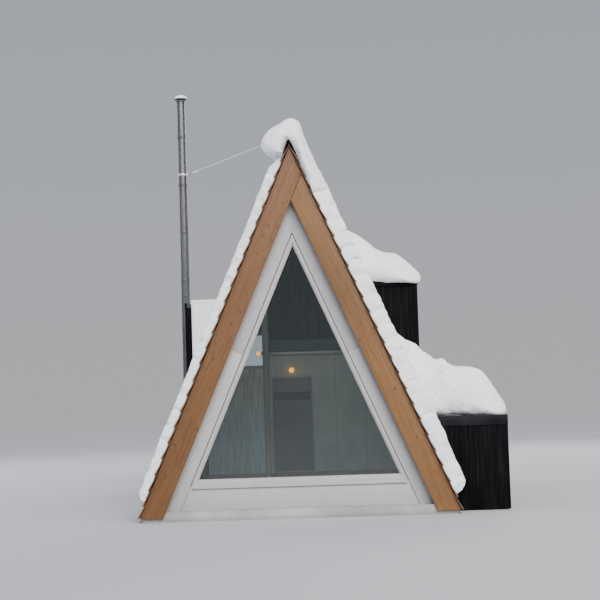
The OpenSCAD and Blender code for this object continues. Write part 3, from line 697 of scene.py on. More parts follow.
# Rows of boards: one tree lays shingles and cladding
def makeBoardRows():
    group = bpy.data.node_groups.new("boardRows", "GeometryNodeTree")
    group.interface.new_socket(name="Geometry", in_out="OUTPUT", socket_type="NodeSocketGeometry")
    kinds = {"Geometry": "Geometry", "Board": "Object", "Finish": "Material", "Columns": "Int",
             "Rows": "Int", "Start": "Vector", "Column Step": "Vector", "Row Step": "Vector",
             "Slide": "Float", "Stagger": "Float", "Board Width": "Float", "Joint": "Float",
             "Low": "Float", "High": "Float", "Seed": "Int"}
    keys = {}
    for label, kind in kinds.items():
        socket = group.interface.new_socket(name=label, in_out="INPUT", socket_type="NodeSocket" + kind)
        keys[label] = socket.identifier
    tree = Tree(group)
    entry = group.nodes.new("NodeGroupInput")
    given = {label: Tone(tree, entry.outputs[label]) for label in kinds}

    def chance(low, high, seed):
        return tree.add("FunctionNodeRandomValue", {"data_type": "FLOAT"}, {2: low, 3: high, 8: seed}, 1)

    def steps(label, count):
        values = {0: given[label], "Scale": count}
        return tree.add("ShaderNodeVectorMath", {"operation": "SCALE"}, values)

    def stored(solid, label, value, kind, domain):
        return tree.add("GeometryNodeStoreNamedAttribute", {"data_type": kind, "domain": domain},
                        {"Geometry": solid, "Name": label, "Value": value})

    def own(label, kind):
        return tree.add("GeometryNodeInputNamedAttribute", {"data_type": kind}, {"Name": label})

    index = tree.add("GeometryNodeInputIndex")
    row = (index / given["Columns"]).whole()
    column = index - row * given["Columns"] + given["Stagger"] * (row % 2.0)
    slide = chance(-1.0, 1.0, given["Seed"])
    tint = chance(0.0, 1.0, given["Seed"] + 5)
    across = steps("Column Step", column)
    along = steps("Row Step", row + slide * given["Slide"])
    x, y, z = tree.parts(tree.vectorSum("ADD", given["Start"], tree.vectorSum("ADD", across, along)))
    # each board is cut off at the ends of the row
    half = given["Board Width"] * 0.5 - given["Joint"] * (0.3 + tint)
    first = (y - half).atLeast(given["Low"])
    last = (y + half).atMost(given["High"])
    place = tree.joined(x, (first + last) * 0.5, z)
    size = tree.joined(1.0, (last - first) / given["Board Width"], 1.0)
    count = given["Columns"] * given["Rows"]
    line = tree.add("GeometryNodeMeshLine", None, {"Count": count, "Offset": (0.0, 0.0, 0.0)})
    points = tree.add("GeometryNodeSetPosition", None, {"Geometry": line, "Position": place})
    board = tree.add("GeometryNodeObjectInfo", None, {"Object": given["Board"]}, "Geometry")
    laid = tree.add("GeometryNodeInstanceOnPoints", None,
                    {"Points": points, "Instance": board, "Scale": size, "Selection": last > first + 0.02})
    laid = stored(laid, "tint", tint, "FLOAT", "INSTANCE")
    solid = tree.add("GeometryNodeRealizeInstances", None, {"Geometry": laid})
    shift = own("tint", "FLOAT")
    moved = tree.joined(shift * 31.0, shift * 17.0, shift * 11.0)
    moved = tree.vectorSum("ADD", own("grain", "FLOAT_VECTOR"), moved)
    solid = stored(solid, "grain", moved, "FLOAT_VECTOR", "POINT")
    solid = tree.add("GeometryNodeSetMaterial", None, {"Geometry": solid, "Material": given["Finish"]})
    tree.feed(group.nodes.new("NodeGroupOutput").inputs["Geometry"], solid)
    return group, keys


boardRows, rowKeys = makeBoardRows()


def addRows(bm, part, finish, numbers):
    # lays one board in rows and adds the baked result to bm
    mesh = bpy.data.meshes.new("oneBoard")
    part.to_mesh(mesh)
    part.free()
    board = bpy.data.objects.new("oneBoard", mesh)
    holder = bpy.data.objects.new("rowHolder", bpy.data.meshes.new("rowHolder"))
    for item in (board, holder):
        scene.collection.objects.link(item)
    rows = holder.modifiers.new("boardRows", "NODES")
    rows.node_group = boardRows
    numbers = {"Stagger": 0.0, "Slide": 0.0, "Rows": 1, "Row Step": (0.0, 0.0, 0.0), "Low": -9.0,
               "High": 9.0, **numbers, "Board": board, "Finish": finish}
    for label, value in numbers.items():
        rows[rowKeys[label]] = value
    graph = bpy.context.evaluated_depsgraph_get()
    baked = bpy.data.meshes.new_from_object(holder.evaluated_get(graph), preserve_all_data_layers=True,
                                            depsgraph=graph)
    holder.modifiers.remove(rows)
    bm.from_mesh(baked)
    for item in (board, holder):
        bpy.data.objects.remove(item)
    bpy.data.meshes.remove(baked)


# Shingles
shingles = {
    "width": 0.152,
    "joint": 0.005,
    "slide": 0.035,
    "lap": 0.06,
    "thickness": 0.024,
    "thinEnd": 0.004,
    "overhang": 0.035,
    "foot": 0.06,
}


def oneShingle(side, reach, butt, width):
    # a tapered shingle whose lower edge is at the origin
    part = bmesh.new()
    back = reach + shingles["lap"]
    head = max(butt - (butt - house["courseHead"]) * back / reach, shingles["thinEnd"])
    section = [(0.0, butt), (-back, head), (-back, 0.001), (0.0, butt - shingles["thickness"])]
    outline = [(side * (u * sinS + t * cosS), -u * cosS + t * sinS) for u, t in section]
    addSolid(part, outline, -width / 2, width / 2, 0.002, alongSlope(side), steps=1)
    return part


def shingleField(bm, side, y0, y1, lowest, seed):
    # whole courses from the peak down, and a short one for what is left
    course = house["courseLength"]
    last = (house["ridge"] - lowest) / cosS
    count = int(last / course)
    columns = round((y1 - y0) / shingles["width"])
    width = (y1 - y0) / columns
    butt, head = house["courseButt"], house["courseHead"]
    runs = [(course, count, butt, course)]
    rest = last - count * course
    if rest > 0.05:
        runs.append((last, 1, head + (butt - head) * rest / course, rest))
    for first, rows, thick, reach in runs:
        x, z = onSlope(first, 0.0, side)
        numbers = {"Columns": columns + 2, "Rows": rows, "Start": (x, y0 - width * 0.25, z),
                   "Column Step": (0.0, width, 0.0), "Row Step": (side * course * sinS, 0.0, -course * cosS),
                   "Stagger": 0.5, "Slide": shingles["slide"], "Board Width": width,
                   "Joint": shingles["joint"], "Low": y0, "High": y1, "Seed": seed + rows}
        addRows(bm, oneShingle(side, reach, thick, width), timbers["shingle"], numbers)


def makeShingles():
    front = house["front"] - shingles["overhang"]
    back = house["back"] + shingles["overhang"]
    foot = shingles["foot"]
    l0, l1, leftTop = house["leftDormer"]
    r0, r1, rightTop = house["rightDormer"]
    fields = {
        "shinglesLeft": [(-1, front, l0, foot, 10), (-1, l0, back, leftTop, 22)],
        "shinglesRight": [(1, front, r0, foot, 12), (1, r0, r1, rightTop, 24), (1, r1, back, foot, 37)],
    }
    for name, runs in fields.items():
        bm = bmesh.new()
        for run in runs:
            shingleField(bm, *run)
        makePiece(name, bm, timbers["shingle"], smooth=False)


# Ridge boards: two rows that meet over the peak, every second one a little lower
ridgeBoard = {
    "down": 0.13,
    "bed": 0.042,
    "thick": 0.02,
    "drop": 0.003,
    "count": 7,
}


def makeRidgeBoards():
    bm = bmesh.new()
    start = house["front"] - shingles["overhang"]
    step = (house["back"] + shingles["overhang"] - start) / ridgeBoard["count"]
    bed, down = ridgeBoard["bed"], ridgeBoard["down"]
    peak = house["ridge"] + bed / sinS
    for side in (-1, 1):
        for number in range(ridgeBoard["count"]):
            y = start + number * step
            thick = ridgeBoard["thick"] - (0.0 if number % 2 else ridgeBoard["drop"])
            flat = peak + thick
            points = [(faceX(flat, -bed - thick), flat), onSlope(down, bed + thick), onSlope(down, bed),
                      (0.001, peak), (0.001, flat)]
            outline = [(side * x, z) for x, z in points]
            addSolid(bm, outline, y + 0.001, y + step - 0.001, 0.003, alongY, number + side * 0.5)
    makePiece("ridgeBoards", bm, timbers["ridgeBoard"])


# Bargeboards with nail heads
barge = {
    "width": 0.32,
    "thickness": 0.045,
    "foot": 0.06,
    "backLeftFoot": 3.43,
    "joint": 0.008,
    "nail": 0.0055,
    "nailStart": 0.62,
    "nailPair": 0.19,
    "nailStep": 0.62,
    "nailDepths": (0.045, 0.275),
}


def bargeOutline(low, side, through):
    # a board that runs through at the peak, or butts under the other one
    width = barge["width"]
    half = width / cosS / 2
    edge = house["ridge"] - half / tanS
    if through:
        ends = [(-half, edge), (0.0, house["ridge"])]
    else:
        x, z = barge["joint"] * sinS, -barge["joint"] * cosS
        ends = [(x, house["ridge"] - width / sinS + z), (half + x, edge + z)]
    points = [(faceX(low), low), (faceX(low, width), low), *ends]
    return [(side * x, z) for x, z in points]


def makeBarges():
    front, back = house["front"], house["back"] - barge["thickness"]
    foot = barge["foot"]
    places = [
        ("bargeFrontLeft", -1, True, front, foot),
        ("bargeFrontRight", 1, False, front, foot),
        ("bargeBackLeft", -1, False, back, barge["backLeftFoot"]),
        ("bargeBackRight", 1, True, back, foot),
    ]
    chance = random.Random(5)
    nails = bmesh.new()
    for number, (name, side, through, y, low) in enumerate(places):
        bm = bmesh.new()
        outline = bargeOutline(low, side, through)
        addSolid(bm, outline, y, y + barge["thickness"], 0.003, alongSlope(side), number * 2.7)
        makePiece(name, bm, timbers["firDeep" if side < 0 else "fir"])
        face, out = (y, -1) if y < 0 else (y + barge["thickness"], 1)
        u = barge["nailStart"]
        while u < (house["ridge"] - low) / cosS - 0.2:
            for depth in barge["nailDepths"]:
                x, z = onSlope(u + chance.uniform(-0.03, 0.03), -depth + chance.uniform(-0.008, 0.008), side)
                addTube(nails, (x, face - out * 0.004, z), (x, face + out * 0.0012, z), barge["nail"], 10)
            u += barge["nailStep"] if u > 1.0 else barge["nailPair"]
    makePiece("bargeNails", nails, darkSheet)


makeShingles()
makeRidgeBoards()
makeBarges()
print("roof covering and bargeboards made")


# Front gable: painted trim, wall base, window frame and glass
gable = {
    "trimOuter": 0.508,
    "trimFace": -4.02,
    "trimThickness": 0.025,
    "joint": 3.18,
    "jointGap": 0.005,
    "frameDepth": 0.518,
    "frameFace": -4.008,
    "frameBack": -3.918,
    "gapShadeBack": -3.9955,
    "beads": ((-3.986, -3.9752), (-3.9508, -3.940)),
    "bead": 0.016,
    "glassDepth": 0.573,
    "sill": 0.52,
    "rail": 0.075,
    "baseBack": -3.855,
}


def halfStrip(side, low, inner, outer, lower=True, upper=True, gap=0.0):
    # one side's strip between two depths: its foot ends level, its head on the centre plane
    foot = [(faceX(low, inner), low), (faceX(low, outer), low)]
    head = [(0.0002, house["ridge"] - depth / sinS - gap) for depth in (outer, inner)]
    half = gable["jointGap"] / 2
    if not lower:
        foot = [onSlope(gable["joint"] - half, -depth) for depth in (inner, outer)]
    if not upper:
        head = [onSlope(gable["joint"] + half, -depth) for depth in (outer, inner)]
    return [(side * x, z) for x, z in foot + head]


def makeTrim():
    ys = gable["trimFace"], gable["trimFace"] + gable["trimThickness"]
    depths = house["lining"], gable["trimOuter"]
    for side, word in ((-1, "Left"), (1, "Right")):
        for part in ("Upper", "Lower"):
            bm = bmesh.new()
            outline = halfStrip(side, house["slab"], *depths, part == "Lower", part == "Upper", 0.0005)
            addSolid(bm, outline, *ys, 0.0015)
            makePiece("trim" + word + part, bm, paint)


def makeGapShadeStrip():
    # a dark strip deep in the joint between the trim and the window frame: painted shade for the shadow in
    # that gap
    bm = bmesh.new()
    for side in (-1, 1):
        outline = halfStrip(side, gable["sill"] + 0.001, gable["trimOuter"] + 0.0006,
                            gable["frameDepth"] - 0.0004)
        addSolid(bm, outline, gable["frameFace"] + 0.004, gable["gapShadeBack"], 0.0)
    makePiece("windowGasket", bm, darkSheet)


def triangle(depth, z):
    return [(-faceX(z, depth), z), (faceX(z, depth), z), (0.0, house["ridge"] - depth / sinS)]


def makeFrontWindow():
    sill, top = gable["sill"], gable["sill"] + gable["rail"]
    depth, pane, bead = gable["frameDepth"], gable["glassDepth"], gable["bead"]
    bm = bmesh.new()
    addFrame(bm, triangle(depth + 0.0005, sill), triangle(pane, top),
             (gable["frameFace"], gable["frameBack"]), 0.003)
    # glazing beads on both sides of the pane
    for ys in gable["beads"]:
        addFrame(bm, triangle(pane + 0.0005, top), triangle(pane + bead, top + bead), ys, 0.002)
    makePiece("frontWindowFrame", bm, paint)
    bm = bmesh.new()
    face, low, inset = gable["trimFace"], house["slab"], depth + 0.001
    outline = triangle(inset, low)[:2] + triangle(inset, sill)[1::-1]
    addSolid(bm, outline, face, gable["baseBack"])
    # sloping sill board under the frame
    reach = faceX(sill, depth) - 0.012
    addBlock(bm, (-reach, reach), (face - 0.028, face + 0.004), (sill - 0.045, sill - 0.004))
    makePiece("frontWallBase", bm, paint)


# Back window: frame, glazing beads and an outer sill
backWindow = {
    "x": (-1.92, -0.615),
    "z": (2.4, 3.17),
    "y": (3.82, 3.91),
    "member": 0.06,
    "beads": ((3.842, 3.8528), (3.8772, 3.888)),
    "bead": 0.016,
    "sill": (3.90, 3.985),
}


def makeBackWindow():
    xs, zs, member = backWindow["x"], backWindow["z"], backWindow["member"]
    outer, inner = corners(xs, zs, member - 0.0005), corners(xs, zs, member + backWindow["bead"])
    bm = bmesh.new()
    addFrame(bm, corners(xs, zs), corners(xs, zs, member), backWindow["y"], 0.003)
    for ys in backWindow["beads"]:
        addFrame(bm, outer, inner, ys, 0.002)
    addBlock(bm, (xs[0], xs[1] + 0.03), backWindow["sill"], (zs[0] - 0.035, zs[0] + 0.004))
    makePiece("backWindowFrame", bm, paint)


def finishNodes():
    # CAD nodes that keep their shape and get a finish
    finishes = [
        (lining, "roof_left_front roof_left_top roof_right_front roof_right_top roof_right_back "
                 "right_dormer_side right_dormer_front right_dormer_back right_dormer_roof "
                 "left_dormer_front left_dormer_side left_dormer_roof"),
        (wallLining, "back_wall_right back_wall_upper back_wall_head front_wall_left front_wall_right "
                     "loft_floor"),
        (streakedPanel, "back_wall_left"),
        (floorBoards, "floor"),
        (concrete, "foundation"),
        (windowGlass, "front_glass back_glass"),
        (hardware, "hinge_pins hinge_knuckles"),
        (darkSheet, "store_walls store_roof"),
    ]
    for finish, names in finishes:
        for name in names.split():
            mesh = nodes[name].data
            mesh.materials.clear()
            mesh.materials.append(finish)


# Loft edge, post and globe lamps
loft = {
    "left": -0.52,
    "right": 1.92,
    "front": -0.10,
    "beamBack": -0.04,
    "beam": (2.625, 2.83),
    "post": 0.11,
    "lamps": [(-0.16, 3.79, 2.355, 0.055, (0, -1, 0)), (-0.63, -0.045, 2.608, 0.042, (-1, 0, 0))],
}


def makeLoft():
    edge, front, floor = loft["left"], loft["front"], house["floor"]
    bm = bmesh.new()
    addBlock(bm, (edge, loft["right"]), (front, loft["beamBack"]), loft["beam"], 0.005, alongX, 3.0)
    makePiece("loftBeam", bm, timbers["beam"])
    # the post's head follows the slope
    bm = bmesh.new()
    left = edge - loft["post"]
    outline = [(left, floor), (edge, floor), *[(x, faceZ(-x, house["lining"])) for x in (edge, left)]]
    addSolid(bm, outline, front, front + loft["post"], 0.005, alongZ, 5.0)
    makePiece("loftPost", bm, timbers["post"])
    # lamps: opal globes on turned plates
    bm, metal = bmesh.new(), bmesh.new()
    for x, y, z, r, out in loft["lamps"]:
        foot, out = Vector((x, y, z)), Vector(out)
        part = bmesh.new()
        bmesh.ops.create_uvsphere(part, u_segments=32, v_segments=20, radius=r)
        part.transform(Matrix.Translation(foot + out * r * 1.7))
        joinSolid(bm, part)
        addTube(metal, foot, foot + out * 0.012, r * 0.8, 32, 0.002)
        addTube(metal, foot + out * 0.01, foot + out * r * 0.85, r * 0.3, 24, 0.0, r * 0.42)
    makePiece("lampGlobes", bm, globeGlass, replaced=["lamps"])
    makePiece("lampFittings", metal, hardware)


makeTrim()
makeGapShadeStrip()
makeFrontWindow()
makeBackWindow()
finishNodes()
makeLoft()
print("gable, windows and loft made")


# Black cladding on the dormers and the store
cladding = {
    "width": 0.145,
    "joint": 0.004,
    "thickness": 0.018,
    "bevel": 0.003,
    "corner": 0.09,
    "storeOut": 3.185,
    "storeUnder": 1.325,
    "storePost": 0.08,
    "storeFoot": 0.02,
    "dormerFoot": 0.06,
}


def addUprights(bm, side, y0, y1, x0, x1, top, low, depth=-0.036):
    # upright boards across a gable-like face: their lower ends follow the slope
    count = max(1, round((x1 - x0) / cladding["width"]))
    step = (x1 - x0) / count
    for i in range(count):
        a = x0 + i * step + cladding["joint"] / 2
        b = x0 + (i + 1) * step - cladding["joint"] / 2
        footA, footB = max(faceZ(a, depth), low), max(faceZ(b, depth), low)
        if top - footB < 0.03:
            continue
        outline = [(side * a, footA), (side * b, footB), (side * b, top), (side * a, top)]
        if footA > top:
            outline = [(side * faceX(top, depth), top), (side * b, footB), (side * b, top)]
        shift = 0.003 if i % 2 else 0.0
        addSolid(bm, outline, y0 + shift, y1 - 0.001 * (i % 3), 0.0025, alongZ, i * 1.3 + top)


def addWallRow(bm, side, x, y0, y1, low, top):
    # upright boards along a side wall, laid by the boards' tree
    part = bmesh.new()
    width, deep = cladding["width"], cladding["thickness"]
    xs = (-0.001, deep) if side > 0 else (-deep, 0.001)
    addBlock(part, xs, (-width / 2, width / 2), (0.0, top - low), 0.0025, alongZ, 2.0)
    count = max(1, round((y1 - y0) / width))
    step = (y1 - y0) / count
    numbers = {"Columns": count, "Start": (side * x, y0 + step / 2, low), "Column Step": (0.0, step, 0.0),
               "Board Width": width, "Joint": cladding["joint"] / 2, "Low": y0, "High": y1, "Seed": 41}
    addRows(bm, part, timbers["cladding"], numbers)


def makeRightDormer():
    out, storeTop = house["dormerOut"], house["store"][2]
    thick, corner, bevel = cladding["thickness"], cladding["corner"], cladding["bevel"]
    y0, y1, top = house["rightDormer"]
    bm = bmesh.new()
    for ys in ((y0 - thick, y0), (y1, y1 + thick)):
        addUprights(bm, 1, *ys, faceX(top, -0.03), out, top - 0.11, storeTop - 0.3)
    addWallRow(bm, 1, out, y0, y1, storeTop - 0.01, top - 0.11)
    xs, zs = (out - 0.004, out + thick + 0.012), (storeTop, top - 0.1)
    addBlock(bm, xs, (y0 - thick - 0.012, y0 - thick + corner), zs, bevel, alongZ, 4.4)
    addBlock(bm, xs, (y1 + thick - corner, y1 + thick + 0.012), zs, bevel, alongZ, 4.9)
    # fascia boards under the snow
    xs, zs = (faceX(top, -0.05), out + thick + 0.018), (top - 0.14, top + 0.004)
    addBlock(bm, xs, (y0 - thick - 0.018, y0 - 0.002), zs, bevel, alongX, 6.0)
    addBlock(bm, xs, (y1 + 0.002, y1 + thick + 0.018), zs, bevel, alongX, 6.4)
    addBlock(bm, (out, xs[1]), (y0 - 0.004, y1 + 0.004), zs, bevel, alongY, 6.8)
    makePiece("rightDormerCladding", bm, timbers["cladding"])


def makeLeftDormer():
    thick, bevel, foot = cladding["thickness"], cladding["bevel"], cladding["dormerFoot"]
    out = house["dormerOut"]
    left = -out - thick
    y0, y1, top = house["leftDormer"]
    bm = bmesh.new()
    addUprights(bm, -1, y0 - thick, y0, faceX(top, -0.03), out, top - 0.1, 0.5)
    addWallRow(bm, -1, out, y0, y1, foot, top - 0.1)
    addBlock(bm, (left - 0.012, -out + 0.07), (y0 - thick - 0.012, y0 - 0.002), (foot, top - 0.08),
             bevel, alongZ, 7.1)
    addBlock(bm, (left - 0.018, -out + 0.004), (y0 - thick - 0.016, y1 + 0.034), (top - 0.13, top + 0.004),
             bevel, alongY, 7.5)
    # the end of its side wall and of its roof at the back
    addBlock(bm, (left - 0.012, -1.925), (y1 + 0.001, y1 + 0.024), (foot, top - 0.2), bevel, alongZ, 7.7)
    addBlock(bm, (left - 0.018, -faceX(top - 0.2, -0.002)), (y1 + 0.001, y1 + 0.034),
             (top - 0.203, top + 0.004), bevel, alongX, 7.8)
    # boards over the cut ends of the slopes beside the dormer
    outline = [(-out, faceZ(out) + 0.05), (-out, foot), (-faceX(foot, -0.03), foot),
               (-out, faceZ(out, -0.03) + 0.04)]
    addSolid(bm, outline, y0 + 0.001, y0 + 0.172, 0.002, alongZ, 8.0)
    makePiece("leftDormerCladding", bm, timbers["cladding"])


def makeStore():
    y0, y1, top = house["store"]
    out, under, foot = cladding["storeOut"], cladding["storeUnder"], cladding["storeFoot"]
    thick, post = cladding["thickness"], cladding["storePost"]
    bm = bmesh.new()
    for ys in ((y0 - thick, y0), (y1, y1 + thick)):
        addUprights(bm, 1, *ys, faceX(under, -0.03), out, under, foot)
    addWallRow(bm, 1, out, y0, y1, foot, under)
    for y in (y0 - thick - 0.01, y1 + thick + 0.01 - post):
        addBlock(bm, (out - 0.004, out + thick + 0.01), (y, y + post), (foot - 0.005, under),
                 cladding["bevel"], alongZ, 8.2)
    makePiece("storeCladding", bm, timbers["cladding"])
    # folded metal fascia round the roof's edge
    bm = bmesh.new()
    reach = out + 0.02
    xs, zs = (faceX(top, -0.05), reach + 0.012), (under - 0.03, top + 0.004)
    addBlock(bm, xs, (y0 - 0.03, y0 - 0.0195), zs, 0.002)
    addBlock(bm, xs, (y1 + 0.0195, y1 + 0.03), zs, 0.002)
    addBlock(bm, (reach, reach + 0.012), (y0 - 0.028, y1 + 0.028), zs, 0.002)
    makePiece("storeFascia", bm, darkSheet)


# Pale boarding outside the back wall, cut round its window and door
backBoards = {
    "width": 0.16,
    "gap": 0.006,
    "bevel": 0.003,
    "y": (3.94, 3.958),
    "left": -1.92,
    "right": 2.25,
    "holes": [(-1.905, -0.63, 2.4, 3.155), (-0.66, 0.34, 0.15, 2.295)],
}


def makeBackBoards():
    look = backBoards
    edges = {look["left"], 0.0, look["right"]}
    for left, right, low, high in look["holes"]:
        edges |= {left, right}
    place = look["left"]
    while place < look["right"]:
        if min(abs(place - edge) for edge in edges) > 0.035:
            edges.add(place)
        place += look["width"]
    edges = sorted(edge for edge in edges if look["left"] <= edge <= look["right"])
    under = house["leftDormer"][2] - 0.2
    bm = bmesh.new()
    for number, (first, last) in enumerate(zip(edges, edges[1:])):
        a, b = first + look["gap"] / 2, last - look["gap"] / 2
        holes = sorted((low, high) for left, right, low, high in look["holes"] if left < (a + b) / 2 < right)
        floor = house["slab"]
        for low, high in holes:
            if low - floor > 0.03:
                addBlock(bm, (a, b), look["y"], (floor, low), look["bevel"], alongZ, number * 1.9)
            floor = high
        topA, topB = [max(faceZ(abs(x), house["lining"]), under if a < 0 else 0.0) for x in (a, b)]
        if min(topA, topB) > floor + 0.02:
            outline = [(a, floor), (b, floor), (b, topB), (a, topA)]
            addSolid(bm, outline, *look["y"], look["bevel"], alongZ, number * 1.9 + 0.7)
    makePiece("backWallBoards", bm, timbers["wallBoard"])


# Flue with its cap, straps and stay
flue = {
    "x": -2.215,
    "y": 2.6,
    "radius": 0.085,
    "foot": 1.75,
    "top": 7.8,
    "tee": 2.005,
    "joints": (2.28, 3.24, 4.2, 5.16, 6.12, 7.08),
    "straps": (2.504, 3.216),
    "strap": 0.04,
    "stand": 0.0595,
    "capRadius": 0.135,
    "collar": 6.3,
    "rodStart": (-2.1006, 2.6, 6.32),
    "rodEnd": (0.0, -3.6, 5.9),
    "rod": 0.0125,
    "turnbuckle": ((0.42, 0.66, 0.021, 24, 0.004), (0.39, 0.43, 0.017, 6, 0.001),
                   (0.65, 0.69, 0.017, 6, 0.001)),
    "eye": (5.726, 5.92),
}


def addHoop(bm, low, high, radius, bevel=0.002, topRadius=None, sides=48):
    # a length of tube on the flue's axis
    x, y = flue["x"], flue["y"]
    addTube(bm, (x, y, low), (x, y, high), radius, sides, bevel, topRadius)


def makeFluePipe():
    x, y, r = flue["x"], flue["y"], flue["radius"]
    foot, tee, wall = flue["foot"], flue["tee"], -house["dormerOut"]
    bm = bmesh.new()
    addHoop(bm, foot, flue["top"], r)
    addHoop(bm, foot - 0.0255, foot + 0.002, r * 0.9)
    addTube(bm, (x, y, tee), (wall - 0.001, y, tee), r * 0.85, 40)
    addTube(bm, (wall - 0.03, y, tee), (wall - 0.018, y, tee), r * 1.35, 40, 0.002)
    # locking bands over the joints, each with its clamp
    for z in flue["joints"]:
        addHoop(bm, z - 0.02, z + 0.02, r + 0.0045, 0.0015)
        addHoop(bm, z - 0.034, z - 0.026, r + 0.003, 0.0)
        addHoop(bm, z + 0.026, z + 0.034, r + 0.003, 0.0)
        addBlock(bm, (x - 0.008, x + 0.008), (y - r - 0.016, y - r - 0.001), (z - 0.014, z + 0.014), 0.002)
    makePiece("fluePipe", bm, flueSteel)


def makeFlueCap():
    r, top, stand, reach = flue["radius"], flue["top"], flue["stand"], flue["capRadius"]
    bm = bmesh.new()
    addHoop(bm, top, top + 0.0149, r * 1.12, 0.003)
    for turn in range(4):
        angle = turn * math.pi / 2
        out = Vector((math.cos(angle), math.sin(angle), 0.0)) * (r * 0.9 + 0.004)
        start = Vector((flue["x"], flue["y"], top)) + out
        addTube(bm, start, start + Vector((0, 0, stand + 0.004)), 0.004, 12)
    under = top + stand
    addHoop(bm, under, under + stand, reach, 0.003, 0.047, 64)
    addHoop(bm, under - 0.009, under + 0.003, reach - 0.002, 0.002, None, 64)
    makePiece("flueCap", bm, flueSteel)


def makeFlueStraps():
    x, y, r, wall = flue["x"], flue["y"], flue["radius"], -house["dormerOut"]
    bm = bmesh.new()
    for z in flue["straps"]:
        zs = (z, z + flue["strap"])
        addHoop(bm, *zs, r + 0.004)
        addBlock(bm, (wall - 0.024, wall - 0.016), (y - 0.12, y + 0.12), (z - 0.035, z + 0.075), 0.002)
        for side in (-1, 1):
            middle = y + side * (r - 0.015)
            addBlock(bm, (x, wall - 0.012), (middle - 0.015, middle + 0.015), zs, 0.002)
            bolt = Vector((wall - 0.024, y + side * 0.1, z + 0.02))
            addTube(bm, bolt, bolt - Vector((0.009, 0, 0)), 0.009, 6)
    makePiece("flueStraps", bm, flueSteel, replaced=["flue_brackets"])


def makeGuyRod():
    edge, y, collar = flue["x"] + flue["radius"], flue["y"], flue["collar"]
    zs = (collar, collar + flue["strap"])
    start, end = Vector(flue["rodStart"]), Vector(flue["rodEnd"])
    way = (end - start).normalized()
    bm = bmesh.new()
    addHoop(bm, *zs, flue["radius"] + 0.004)
    addBlock(bm, (edge, edge + 0.042), (y - 0.008, y + 0.008), zs, 0.002)
    addTube(bm, start, end, flue["rod"])
    for near, far, *shape in flue["turnbuckle"]:
        addTube(bm, start + way * near, start + way * far, *shape)
    addTube(bm, end - way * 0.12, end - way * 0.02, 0.018, 20, 0.003)
    addBlock(bm, (-0.02, 0.02), (end.y - 0.02, end.y + 0.02), flue["eye"])
    makePiece("guyRod", bm, rodSteel)


# Entrance door
door = {
    "x": (-0.56, 0.24),
    "y": (3.795, 3.845),
    "z": (0.27, 2.195),
    "band": (1.74, 1.91),
    "inset": 0.06,
    "depth": 0.004,
    "bevel": 0.003,
    "lever": (-0.5, 1.25),
    "frameX": (-0.615, 0.295),
    "frameY": (3.79, 3.94),
    "frameZ": (0.15, 2.25),
    "jamb": 0.05,
    "stop": 0.015,
    "sill": 0.265,
    "casing": 0.045,
}


def bandFace(bm, y, out):
    # one face of the leaf with its sunk band; returns the outer corners
    xs, lip = (door["x"][0] + door["inset"], door["x"][1] - door["inset"]), door["bevel"]
    sunk = corners(xs, door["band"])
    loops = [(corners(door["x"], door["z"]), y), (corners(xs, door["band"], -lip), y),
             (sunk, y - out * door["depth"])]
    rings = [[bm.verts.new((x, depth, z)) for x, z in loop] for loop, depth in loops]
    joinRings(bm, rings)
    bm.faces.new(rings[-1])
    return rings[0]


def makeDoorLeaf():
    part = bmesh.new()
    front = bandFace(part, door["y"][0], -1)
    back = bandFace(part, door["y"][1], 1)
    edges = {edge for face in joinRings(part, [front, back]) for edge in face.edges}
    bmesh.ops.recalc_face_normals(part, faces=part.faces)
    bmesh.ops.bevel(part, geom=list(edges), offset=door["bevel"], segments=2, profile=0.6, affect="EDGES")
    bm = bmesh.new()
    joinSolid(bm, part)
    makePiece("doorLeaf", bm, doorPaint, "door")


def makeDoorLevers():
    bm = bmesh.new()
    x, z = door["lever"]
    for y, out in zip(door["y"], (-1, 1)):
        grip = y + out * 0.045
        addTube(bm, (x, y, z), (x, y + out * 0.008, z), 0.026, 40, 0.002)
        addTube(bm, (x, y, z), (x, y + out * 0.053, z), 0.0087)
        addTube(bm, (x - 0.0087, grip, z), (x + 0.115, grip, z), 0.0087, 24, 0.002, 0.0078)
        addTube(bm, (x, y, z - 0.07), (x, y + out * 0.005, z - 0.07), 0.022, 36, 0.0015)
    makePiece("doorLevers", bm, hardware, "door", ["door_handle"])


def makeDoorFrame():
    (x0, x1), deep, (z0, z1) = door["frameX"], door["frameY"], door["frameZ"]
    jamb, stop, casing, sill = door["jamb"], door["stop"], door["casing"], door["sill"]
    a, b, head, back = x0 + jamb, x1 - jamb, z1 - jamb, deep[1]
    rebate = (door["y"][1] + 0.005, back - 0.001)
    outside = (back - 0.001, back + 0.022)
    boxes = [
        ((x0, a), deep, (z0, z1)),
        ((b, x1), deep, (z0, z1)),
        ((a, b), deep, (head, z1)),
        ((a, b), deep, (z0, sill)),
        ((a - 0.001, a + stop), rebate, (sill - 0.001, head)),
        ((b - stop, b + 0.001), rebate, (sill - 0.001, head)),
        ((a, b), rebate, (head - stop, head + 0.001)),
        ((x0 - casing, x0 + 0.03), outside, (z0, z1 + casing)),
        ((x1 - 0.03, x1 + casing), outside, (z0, z1 + casing)),
        ((x0 + 0.0305, x1 - 0.0305), outside, (z1 - 0.03, z1 + casing)),
    ]
    bm = bmesh.new()
    for box in boxes:
        addBlock(bm, *box, door["bevel"])
    makePiece("doorFrame", bm, framePaint)


makeRightDormer()
makeLeftDormer()
makeStore()
makeBackBoards()
makeFluePipe()
makeFlueCap()
makeFlueStraps()
makeGuyRod()
makeDoorLeaf()
makeDoorLevers()
makeDoorFrame()
print("dormers, store, flue and door made")


# Snow: sheets on the slopes, and masses drawn out along the house
snow = {
    "right": 0.257,
    "left": 0.157,
    "dormer": 0.06,
    "bed": 0.030,
    "foot": 0.35,
    "over": 0.008,
    "step": 0.075,
    "fine": 0.02,
}


